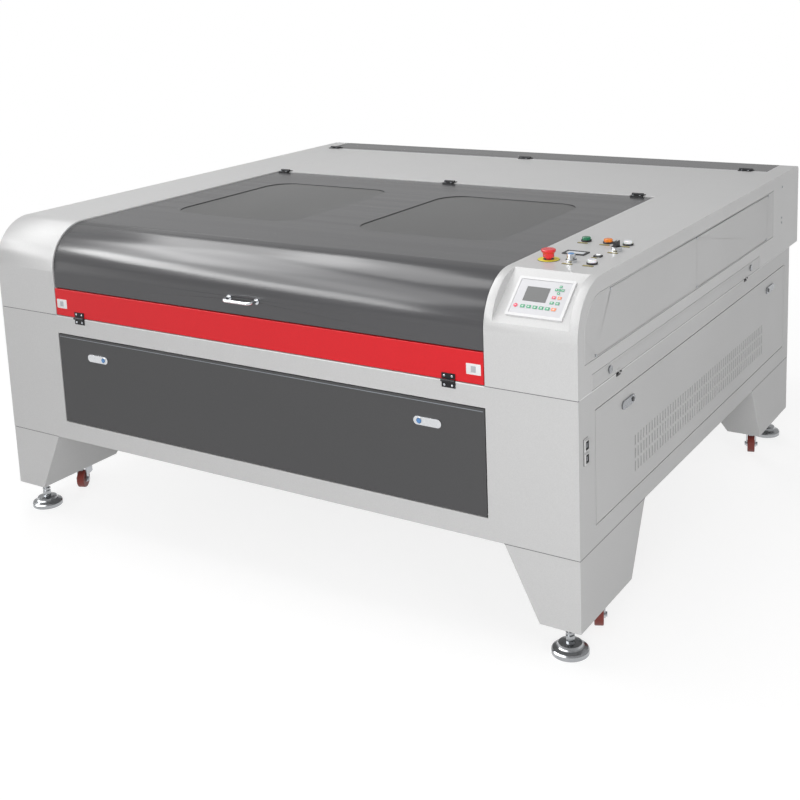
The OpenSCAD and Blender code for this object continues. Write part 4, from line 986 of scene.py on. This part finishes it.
# %% Data port and key disc
shell = block("port_shell_pattern", (-6.8, -3, 0), (6.8, 3, 1.8))
round_corners(shell, 1.9, 4)
step_top(shell, (0.6, -1.5), (1.1, 0.9))
fit(shell, "data_port_shell", [place(side - 88 * MM, front + 327 * MM, top + 4 * MM)], chrome_plate, "frame")
remove(shell)
cap = disc("key_disc_pattern", 8.2, 0, 0.8, 36)
step_top(cap, (1, 0.3), (3, -0.3))
soften(cap, 0.15, 50, 1)
fit(cap, "key_switch_disc", [place(columns[1], row_front, edge("key_barrel", 1, "Z"))], blue_abs, "key")
remove(cap)

# %% [markdown]
# ## Pads on the flap
# Near each end of the red flap sits a small white pad with a grey square on it.
# Both are plates with rounded corners, one on the other. A painted square would
# do from afar, but a second plate keeps a sharp edge from near.

# %% Flap pads
pad_plate = block("pad_plate", (-22, -15, 0), (22, 15, 1.0))
round_corners(pad_plate, 2, 4)
soften(pad_plate, 0.3, 50, 2)
pad_x, pad_z = opening - 32 * MM, seam + 42 * MM
flap_ends = [place(s * pad_x, front, pad_z, "-Y") for s in (-1, 1)]
fit(pad_plate, "flap_pads", flap_ends, white_abs, "flap")
remove(pad_plate)
grey_square = block("pad_square_pattern", (-7.5, -8.5, 0), (7.5, 8.5, 0.25))
round_corners(grey_square, 1.5, 3)
step_top(grey_square, (1.2, -0.1))
squares = [place(s * pad_x, front - 1 * MM, pad_z, "-Y") for s in (-1, 1)]
fit(grey_square, "flap_pad_squares", squares, grey_film, "flap")
remove(grey_square)

# %% [markdown]
# ## Filter behind the vents
# The slots of the side door are backed by a mat that keeps dust out, so from
# outside they read only a little darker than the door. The mat is one block
# whose face is divided and pushed in and out in small cushions.

# %% Side door filter
low_y, high_y = edge("side_door", 0, "Y"), edge("side_door", 1, "Y")
door_low = edge("side_door", 0, "Z")
mat = block("filter_pattern", (-60, -604, 0), (60, 604, 3))
pick(mat, "EDGE", lambda at, n: abs(n.y) > 0.9)
bpy.ops.mesh.subdivide(number_cuts=39)
pick(mat, "EDGE", lambda at, n: abs(n.x) > 0.9)
bpy.ops.mesh.subdivide(number_cuts=3)
step_top(mat, (2, 0.8), each=True)
filter_place = place(side - 5.2 * MM, (low_y + high_y) / 2, door_low + 102 * MM, "+X")
fit(mat, "vent_filter", [filter_place], filter_mat, "side_door", 60)
remove(mat)

# %% [markdown]
# ## Painted shade and highlight in the seams
# The upper half, the lower half and the legs are separate shells, bolted
# together. Thin dark strips in the seams draw the shadow line between them:
# painted shade. Under the strip door the seam gets a pale strip instead, which
# draws the lit edge there: a painted highlight. Painted lines could stand in for
# them, but a strip also shows from near. Each is a long box with rounded edges
# that stands a fraction of a millimetre proud.

# %% Strips of painted shade and highlight in the seams
def strip(name, low, high):
    """A long box between two corners in metres, with rounded edges."""
    piece = block(name, [v / MM for v in low], [v / MM for v in high])
    soften(piece, 0.3, 40, 2)
    return piece


proud, deep, half = 0.3 * MM, 6 * MM, 1.0 * MM
leg_wide, leg_deep = 220 * MM, 440 * MM
floor_line = edge("lower_cabinet", 0, "Z")
inner, outer = front + deep, side + proud
seam_line_runs = {
    "seam_shade_line_front_left": (-side + deep, front - proud, -opening - MM, inner, seam),
    "seam_shade_line_front_right": (opening + MM, front - proud, outer, inner, seam),
    "seam_highlight_line_right": (side - deep, inner, outer, back - deep, seam),
    "leg_shade_line_front_left": (-side + deep, front - proud, leg_wide - side, inner, floor_line),
    "leg_shade_line_front_right": (side - leg_wide, front - proud, outer, inner, floor_line),
    "leg_shade_line_right_front": (side - deep, inner, outer, front + leg_deep, floor_line),
    "leg_shade_line_right_rear": (side - deep, back - leg_deep, outer, back - deep, floor_line),
}
# The dark strips are painted shade, the shadow line in each seam; the pale one on the right is a painted
# highlight of the lit edge.
for name, (x_low, y_low, x_high, y_high, level) in seam_line_runs.items():
    seam_line = strip(name, (x_low, y_low, level - half), (x_high, y_high, level + half))
    dress(seam_line, white_abs if name == "seam_highlight_line_right" else painted_seam_shade, "frame")

# %% [markdown]
# Below the flap a white strip draws the lit top edge of the cabinet: a painted
# highlight. The front door gets a lighter bead along its top, a painted
# highlight of its folded edge. They are made in the same way. The bead moves
# with the door.

# %% Painted highlights under the flap and on the door
flap_highlight_end = opening - 2 * MM
# A white strip under the flap: a painted highlight of the cabinet's lit top edge.
flap_highlight = strip("flap_edge_highlight", (-flap_highlight_end, front - proud, seam - 3.4 * MM), (flap_highlight_end, inner, seam - 0.4 * MM))
dress(flap_highlight, white_abs, "frame")
# A lighter grey strip at the door's top: a painted highlight of its folded edge.
door_top = edge("front_door", 1, "Z") - 8 * MM
door_highlight_from, door_highlight_to = edge("front_door", 0, "X") + 4 * MM, edge("front_door", 1, "X") - 4 * MM
door_face = front - 0.6 * MM
door_highlight_low, door_highlight_high = (door_highlight_from, door_face, door_top - MM), (door_highlight_to, door_face + 2 * MM, door_top + MM)
dress(strip("front_door_highlight_bead", door_highlight_low, door_highlight_high), grey_enamel, "front_door")

# %% [markdown]
# ## Sleeves and rings
# The key switch and the selector stand on bright turned sleeves. Each is a lathe
# part. It could be a tube with a bore cut out, but a folded sheet is lighter:
# the edge of a circle is drawn up, then inwards, and the sheet is given its
# thickness. The selector also has a narrower skirt that turns with it, and a
# white pointer on its knob.

# %% Sleeves on the controls
def sleeve_of(name, radius, bore, height, thick=0.3, sides=48):
    """The edge of a circle drawn up by height and in to the bore's radius, as a thin sheet."""
    deselect()
    bpy.ops.mesh.primitive_circle_add(vertices=sides, radius=radius * MM)
    ring = new_piece(name)
    bpy.ops.object.mode_set(mode="EDIT")
    bpy.ops.mesh.select_all(action="SELECT")
    bpy.ops.mesh.extrude_edges_move()
    lift(height)
    bpy.ops.mesh.extrude_edges_move()
    bpy.ops.transform.resize(value=(bore / radius, bore / radius, 1), center_override=(0, 0, 0))
    bpy.ops.object.mode_set(mode="OBJECT")
    thicken(ring, thick)
    return ring


sleeve = sleeve_of("sleeve_pattern", 15.35, 14.6, 7.3)
fit(sleeve, "control_sleeves",
    [place(columns[1], row_front, top), place(*selector_at, top)], chrome_plate, "frame")
remove(sleeve)
skirt = sleeve_of("skirt_pattern", 14.35, 12.9, 5.9)
fit(skirt, "selector_skirt", [place(*selector_at, top + 7.2 * MM)], chrome_plate, "selector")
remove(skirt)
pointer = block("pointer_pattern", (-0.9, 2, 0), (0.9, 12.6, 0.4))
round_corners(pointer, 0.6, 3)
fit(pointer, "selector_pointer", [place(*selector_at, top + 28 * MM)], white_abs, "selector")
remove(pointer)

# %% [markdown]
# ### Latch rings
# A thin bright ring lies round the button of each latch. It is a low sleeve, and
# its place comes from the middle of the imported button.

# %% Rings round the latch buttons
latch_ring = sleeve_of("latch_ring_pattern", 9.5, 8.2, 0.6)


def middle(node):
    """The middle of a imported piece's box."""
    low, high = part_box(node)
    return [(a + b) / 2 for a, b in zip(low, high)]


for door, facing, buttons in (("front_door", "-Y", ("front_latch_button_left", "front_latch_button_right")),
                              ("side_door", "+X", ("side_latch_button_front", "side_latch_button_rear"))):
    spots = []
    for name in buttons:
        x, y, z = middle(name)
        on_front = facing == "-Y"
        spots.append(place(x if on_front else side + 4 * MM, front - 4 * MM if on_front else y, z, facing))
    fit(latch_ring, door + "_latch_rings", spots, chrome_plate, door)
remove(latch_ring)

# %% [markdown]
# ## Data sockets on the side
# Near the front edge of the right side is a small light plate with two data
# sockets. The plate is a bevelled sheet. Each socket gets a light frame: a
# plane inset once, its middle taken out, and the rest given a depth. The dark
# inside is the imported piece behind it, and a small bright tongue stands there.

# %% Socket plate, frames and tongues
socket_y, socket_z = front + 41 * MM, seam - 146 * MM
to_socket = 18 * MM  # up and down from the middle of the plate
cover = block("socket_plate_pattern", (-36.4, -13.4, 0), (36.4, 13.4, 0.6))
round_corners(cover, 2, 4)
step_top(cover, (0.8, 0.15))
fit(cover, "socket_plate", [place(side + 1.5 * MM, socket_y, socket_z, "+X")], light_grey_coat, "frame")
remove(cover)
deselect()
bpy.ops.mesh.primitive_plane_add(size=1, location=(0, 0, 0))
bpy.context.object.scale = (29.4 * MM, 23.4 * MM, 1)
rim = new_piece("socket_frame_pattern")
pick(rim, "FACE", lambda at, n: True)
bpy.ops.mesh.inset(thickness=3.2 * MM)
bpy.ops.mesh.delete(type="FACE")
bpy.ops.object.mode_set(mode="OBJECT")
thicken(rim, 3.0, 1)
soften(rim, 0.5, 40, 2)
both = [place(side + 2.2 * MM, socket_y, socket_z + s * to_socket, "+X") for s in (-1, 1)]
fit(rim, "socket_frames", both, light_grey_coat, "frame")
remove(rim)
tongue = block("tongue_pattern", (-6, -1.3, 0), (6, 1.3, 1.8))
pick(tongue, "EDGE", lambda at, n: at.z > 1.7)
bpy.ops.mesh.bevel(offset=0.4 * MM, segments=2)
both = [place(side + 2.5 * MM, socket_y, socket_z + s * to_socket, "+X") for s in (-1, 1)]
fit(tongue, "socket_tongues", both, zinc_plate, "frame")
remove(tongue)

# %% [markdown]
# ## Casters
# Each caster hangs on four hexagon bolts under its plate, with a washer under
# each head. A bolt is a six-sided prism with its top stepped in and dished. The
# casters stand at slightly different angles, as they are left after the machine
# was rolled to its place.

# %% Caster bolts
half_plate, to_bolt = 31 * MM, 23.5 * MM
caster_x = edge("caster_plates", 1, "X") - half_plate
caster_y = {"f": edge("caster_plates", 0, "Y") + half_plate, "r": edge("caster_plates", 1, "Y") - half_plate}
plate_low = edge("caster_plates", 1, "Z") - 4 * MM
casters = {"fl": 295, "fr": 295, "rl": 290, "rr": 287}  # degrees round Z


def axis_of(corner):
    """The swivel axis of a caster."""
    return (caster_x if corner[1] == "r" else -caster_x), caster_y[corner[0]]


bolt = disc("hex_bolt_pattern", 5.4, 0.9, 4.2, 6)
step_top(bolt, (0.8, 0.3), (1.4, -0.25))
washer = disc("washer_pattern", 6.9, 0, 0.9, 28)
step_top(washer, (0.5, 0.1))
spots = [place(x + a * to_bolt, y + b * to_bolt, plate_low, "-Z", 0.3 * a)
         for x, y in map(axis_of, casters) for a in (-1, 1) for b in (-1, 1)]
fit(bolt, "caster_bolts", spots, zinc_plate, "frame")
fit(washer, "caster_washers", spots, zinc_plate, "frame")
remove(bolt)
remove(washer)

# %% [markdown]
# ### Brakes and hubs
# A bent pedal on the fork works the brake, and the wheel turns between two
# pressed hub rings. The pedal is a flat block whose outer end is pushed down,
# and a hub is a low sleeve. The pedal rides on the fork and the hubs on the
# wheel, so that both follow when the caster swivels.

# %% Brake pedals and wheel hubs
pedal = block("pedal_pattern", (36, -10, 80), (53, 10, 82.5))
pick(pedal, "EDGE", lambda at, n: abs(n.x) > 0.9)
bpy.ops.mesh.subdivide(number_cuts=3)
pick(pedal, "FACE", lambda at, n: n.x > 0.9)
lift(-5)
pick(pedal, "EDGE", lambda at, n: abs(n.z) > 0.5 and at.x > 52)
bpy.ops.mesh.bevel(offset=3 * MM, segments=3)
soften(pedal, 0.5, 30, 2)
hub = sleeve_of("hub_pattern", 12, 4.8, 0.9)
trail, hub_face = 32 * MM, 13 * MM
for corner, angle in casters.items():
    x, y = axis_of(corner)
    turned = Matrix.Translation((x, y, 0)) @ Matrix.Rotation(math.radians(angle), 4, "Z")
    fit(pedal, "brake_pedal_" + corner, [turned], zinc_plate, "fork_" + corner)
    wheel = "caster_wheel_" + corner
    axle = (edge(wheel, 0, "Z") + edge(wheel, 1, "Z")) / 2
    sides = []
    for s in (-1, 1):
        outwards = Matrix.Rotation(-s * math.pi / 2, 4, "X")
        sides.append(turned @ Matrix.Translation((trail, s * hub_face, axle)) @ outwards)
    fit(hub, "wheel_hubs_" + corner, sides, zinc_plate, "wheel_" + corner)
remove(pedal)
remove(hub)

# %% [markdown]
# ## Back of the machine
# The back is plain sheet with two rows of cooling louvres, two collars for the
# exhaust hoses and the power inlet. A louvre is pressed out of the sheet, so it
# is a wedge that opens to one side: a block with one edge pushed flat, the face
# across from it and the one on the sheet taken out, and the rest given the
# sheet's thickness.

# %% Louvre hoods
back_face = edge("back_panel", 1, "Y")
hood = block("louvre_pattern", (-25, -8, 0), (25, 8, 6.5))
pick(hood, "EDGE", lambda at, n: at.y < -7.9 and at.z > 6.4)
lift(-6)
pick(hood, "FACE", lambda at, n: n.y > 0.9 or n.z < -0.9)
bpy.ops.mesh.delete(type="FACE")
bpy.ops.object.mode_set(mode="OBJECT")
thicken(hood, 0.9, -1)
soften(hood, 0.35, 30, 2)
louvre_pitch, louvre_rows = 60 * MM, (376.5 * MM, 410.5 * MM)
spots = [place((i - 7.5) * louvre_pitch, back_face, z, "+Y") for i in range(16) for z in louvre_rows]
fit(hood, "back_louvres", spots, light_grey_coat, "frame")
remove(hood)

# %% [markdown]
# ### Exhaust
# Each collar ends in a rolled rim, and a wire guard keeps hands out of it. The
# guard is made as it is welded: three rings, three rods across them and a boss
# in the middle. The screws of the flange are the hinge screws, larger.

# %% Exhaust rims, guards and flange screws
collar_end = edge("electronics", 1, "Y")
collars, collar_height = [-300 * MM, 300 * MM], 560 * MM
rim = sleeve_of("rim_pattern", 75.5, 73.7, 6, 0.7, 96)
spots = [place(x, collar_end - 5.7 * MM, collar_height, "+Y") for x in collars]
fit(rim, "exhaust_rims", spots, zinc_plate, "frame")
remove(rim)
deselect()
wires = []
for radius in (22, 40, 58):
    bpy.ops.mesh.primitive_torus_add(
        major_radius=radius * MM, minor_radius=1.2 * MM, major_segments=56, minor_segments=8)
    wires.append(bpy.context.object)
for turn in range(3):
    bpy.ops.mesh.primitive_cylinder_add(
        vertices=10, radius=1.3 * MM, depth=146.6 * MM, location=(0, 0, -2 * MM),
        rotation=(math.pi / 2, 0, turn * math.pi / 3))
    wires.append(bpy.context.object)
boss = disc("guard_boss", 12, -3.2, 1.6, 32)
step_top(boss, (2, 0.8))
deselect()
for wire in wires + [boss]:
    wire.select_set(True)
bpy.context.view_layer.objects.active = boss
bpy.ops.object.join()
bpy.ops.object.transform_apply(location=True, rotation=True, scale=True)
guard = bpy.context.object
guard.name = "guard_pattern"
spots = [place(x, collar_end - 14 * MM, collar_height, "+Y") for x in collars]
fit(guard, "exhaust_guards", spots, zinc_plate, "frame")
remove(guard)
flange_face, to_corner, larger = back_face + 2.5 * MM, 84 * MM, 1.6
spots = [place(x + a * to_corner, flange_face, collar_height + b * to_corner, "+Y", 0.4 * a, larger)
         for x in collars for a in (-1, 1) for b in (-1, 1)]
fit(screw, "flange_screws", spots, zinc_plate, "frame")

# %% [markdown]
# ### Power inlet
# The inlet is a moulded socket with three pins and a rocker switch beside it.
# The socket's shroud is a block whose face is inset and pushed in. The rocker
# gets its tilt by lifting one edge of its inset face.

# %% Power inlet
inlet = (470 * MM, back_face + 4 * MM, 640 * MM)
shroud = block("inlet_shroud_pattern", (-24, -12, 0), (4, 12, 1.6))
round_corners(shroud, 2.5, 3)
step_top(shroud, (1.8, -1.2))
fit(shroud, "inlet_shroud", [place(*inlet, "+Y")], black_abs, "frame")
remove(shroud)
pin = block("inlet_pin_pattern", (-1, -3, 0), (1, 3, 1.3))
pick(pin, "EDGE", lambda at, n: at.z > 1.2)
bpy.ops.mesh.bevel(offset=0.4 * MM, segments=2)
spots = [place(inlet[0] + x * MM, inlet[1] + 0.3 * MM, inlet[2] + z * MM, "+Y")
         for x, z in ((-17, -2), (-10, 3), (-3, -2))]
fit(pin, "inlet_pins", spots, zinc_plate, "frame")
remove(pin)
rocker = block("rocker_pattern", (8, -9, 0), (22, 9, 1.4))
pick(rocker, "FACE", lambda at, n: n.z > 0.9)
bpy.ops.mesh.inset(thickness=1.6 * MM)
pick(rocker, "EDGE", lambda at, n: at.z > 1.3 and 7 < at.y < 8 and abs(n.x) > 0.9)
lift(2.2)
soften(rocker, 0.3, 30, 2)
fit(rocker, "power_switch", [place(*inlet, "+Y")], black_abs, "frame")
remove(rocker)

# %% [markdown]
# ## Under the lid
# With the lid open the gantry shows. A drag chain of moulded links lies along
# the beam and a bright rail sits in its groove. The links are one bevelled
# block with hollowed sides, repeated, since the chain lies straight here. The
# rail is a long block with a sunk running face.

# %% Drag chain and rail of the gantry
beam_y, beam_low, beam_top = front + 1260 * MM, 880 * MM, 940 * MM
beam_face = beam_y - 30 * MM
link = block("chain_link_pattern", (-6.2, -9, 0), (6.2, 9, 11))
pick(link, "FACE", lambda at, n: abs(n.y) > 0.9)
bpy.ops.mesh.inset(thickness=1.8 * MM, depth=-1.2 * MM, use_individual=True)
step_top(link, (2.4, -0.8))
soften(link, 0.6, 40, 2)
link_pitch, chain_start = 13.2, -640
spots = [place((chain_start + link_pitch * i) * MM, beam_y + 14 * MM, beam_top) for i in range(91)]
fit(link, "drag_chain", spots, black_abs, "gantry")
remove(link)
reach = (opening - 14 * MM) / MM
rail = block("beam_rail_pattern", (-reach, -4.6, -2.6), (reach, 4.6, -0.5))
pick(rail, "EDGE", lambda at, n: abs(n.x) > 0.9 and at.z > -1)
bpy.ops.mesh.bevel(offset=0.8 * MM, segments=2)
step_top(rail, (1.6, -0.4))
fit(rail, "beam_rail", [place(0, beam_face, beam_low + 30 * MM, "-Y")], zinc_plate, "gantry")
remove(rail)

# %% [markdown]
# ### Mirrors
# Two small mirrors face each other along the path of the beam: one at the end
# of the gantry, one on the head. A mirror is a gold-coated disc in a turned cell
# with a raised rim, and the same two patterns serve both places.

# %% Mirrors
gold_mirror = plated("gold_coated_mirror", "#d9b45c", "#cfa850", 0.06, 20)
cell = disc("mirror_cell_pattern", 11, 0, 5, 40)
step_top(cell, (2.4, -1.6))
soften(cell, 0.4, 50, 2)
glass = disc("mirror_glass_pattern", 8.4, 0, 0.8, 40)
pick(glass, "EDGE", lambda at, n: at.z > 0.7)
bpy.ops.mesh.bevel(offset=0.3 * MM, segments=2)
path_y, path_height = beam_y - 55 * MM, 905 * MM  # the path of the laser beam
head_x = 620 * MM
at_end = place(-(opening - 8 * MM) + 100 * MM, path_y, path_height, "+X")
at_head = place(head_x - 30 * MM, path_y, path_height, "-X")
forward = Matrix.Translation((0, 0, 3.4 * MM))
fit(cell, "mirror_cell_end", [at_end], drawn_aluminium, "gantry")
fit(glass, "mirror_end", [at_end @ forward], gold_mirror, "gantry")
fit(cell, "mirror_cell_head", [at_head], drawn_aluminium, "head")
fit(glass, "mirror_head", [at_head @ forward], gold_mirror, "head")
remove(cell)
remove(glass)

# %% [markdown]
# ### Head
# The head has a knurled ring for the focus and a stepped nipple for the air
# hose. The knurl is the side of a disc with every face sunk by itself. The
# nipple is a disc whose end is drawn out again and again, narrower and wider.

# %% Knurled ring and air nipple
knurl = disc("knurled_ring_pattern", 20, 0, 11, 40)
pick(knurl, "FACE", lambda at, n: abs(n.z) < 0.5)
bpy.ops.mesh.inset(thickness=0.6 * MM, depth=-0.7 * MM, use_individual=True)
pick(knurl, "FACE", lambda at, n: abs(n.z) > 0.9)
bpy.ops.mesh.inset(thickness=1.2 * MM, depth=0.5 * MM, use_individual=True)
head_y, ring_height, nipple_height = beam_face - 35 * MM, 812 * MM, 786 * MM
fit(knurl, "focus_ring", [place(head_x, head_y, ring_height)], drawn_aluminium, "head", 20)
remove(knurl)
nipple = disc("nipple_pattern", 3.4, 0, 3, 20)
for narrower, step in ((0.9, 2.5), (-0.7, 0.2), (0.7, 2.5), (-0.7, 0.2), (0.7, 2.5)):
    pick(nipple, "FACE", lambda at, n: n.z > 0.9)
    bpy.ops.mesh.extrude_region_move()
    lift(step)
    factor = 1 - narrower / (3.4 if narrower > 0 else 2.6)
    bpy.ops.transform.resize(value=(factor, factor, 1), center_override=(0, 0, 0))
fit(nipple, "air_nipple", [place(head_x, head_y - 13.5 * MM, nipple_height, "-Y")], zinc_plate, "head")
remove(nipple)

# %% [markdown]
# ## Tube fittings and drives
# The glass tube wears a metal collar at each end and a strap over each cradle.
# A collar is a sleeve. A strap is half of a ring: the edge of a circle drawn up,
# the lower half taken out and the sheet given a thickness.

# %% Tube collars and straps
tube_y, tube_height = edge("laser_tube", 0, "Y") + 55 * MM, 850 * MM
tube_end, to_cradle = 787 * MM, 1600 / 3 * MM  # along X, from the middle
collar = sleeve_of("tube_collar_pattern", 40.9, 17, 14, 1.2, 64)
ends = [place(s * tube_end, tube_y, tube_height, "+X" if s > 0 else "-X") for s in (-1, 1)]
fit(collar, "tube_collars", ends, drawn_aluminium, "frame")
remove(collar)
deselect()
bpy.ops.mesh.primitive_circle_add(vertices=64, radius=40.8 * MM)
strap = new_piece("tube_strap_pattern")
bpy.ops.object.mode_set(mode="EDIT")
bpy.ops.mesh.select_all(action="SELECT")
bpy.ops.mesh.extrude_edges_move()
lift(18)
pick(strap, "FACE", lambda at, n: at.x > 4)
bpy.ops.mesh.delete(type="FACE")
bpy.ops.object.mode_set(mode="OBJECT")
thicken(strap, 1)
spots = [place(i * to_cradle - 9 * MM, tube_y, tube_height, "+X") for i in (-1, 0, 1)]
fit(strap, "tube_straps", spots, zinc_plate, "frame")
remove(strap)

# %% [markdown]
# ### Drives
# In the bay behind the side door the drives have cooling fins and screw
# terminals. A fin is a thin plate with rounded ends, repeated. A terminal strip
# is a block cut into cells whose tops are inset and sunk one by one.

# %% Fins and terminals of the drives
fin = block("fin_pattern", (-58, -1.3, 0), (58, 1.3, 10))
pick(fin, "EDGE", lambda at, n: abs(n.y) > 0.9)
bpy.ops.mesh.bevel(offset=3 * MM, segments=3)
first_fin, fin_pitch, drive_height = front + 880 * MM, 15 * MM, 388 * MM
spots = [place(opening + 210 * MM, first_fin + fin_pitch * i, drive_height, "+X") for i in range(23)]
fit(fin, "drive_fins", spots, drawn_aluminium, "frame")
remove(fin)
terminals = block("terminal_pattern", (-7, -70, 0), (7, 70, 12))
pick(terminals, "EDGE", lambda at, n: abs(n.y) > 0.9)
bpy.ops.mesh.subdivide(number_cuts=11)
step_top(terminals, (1.8, -2.5), each=True)
spots = [place(opening + 200 * MM, front + 640 * MM, drive_height, "+X"),
         place(opening + 170 * MM, front + 1455 * MM, 372 * MM, "+X")]
fit(terminals, "drive_terminals", spots, blue_abs, "frame")
remove(terminals)
remove(screw)
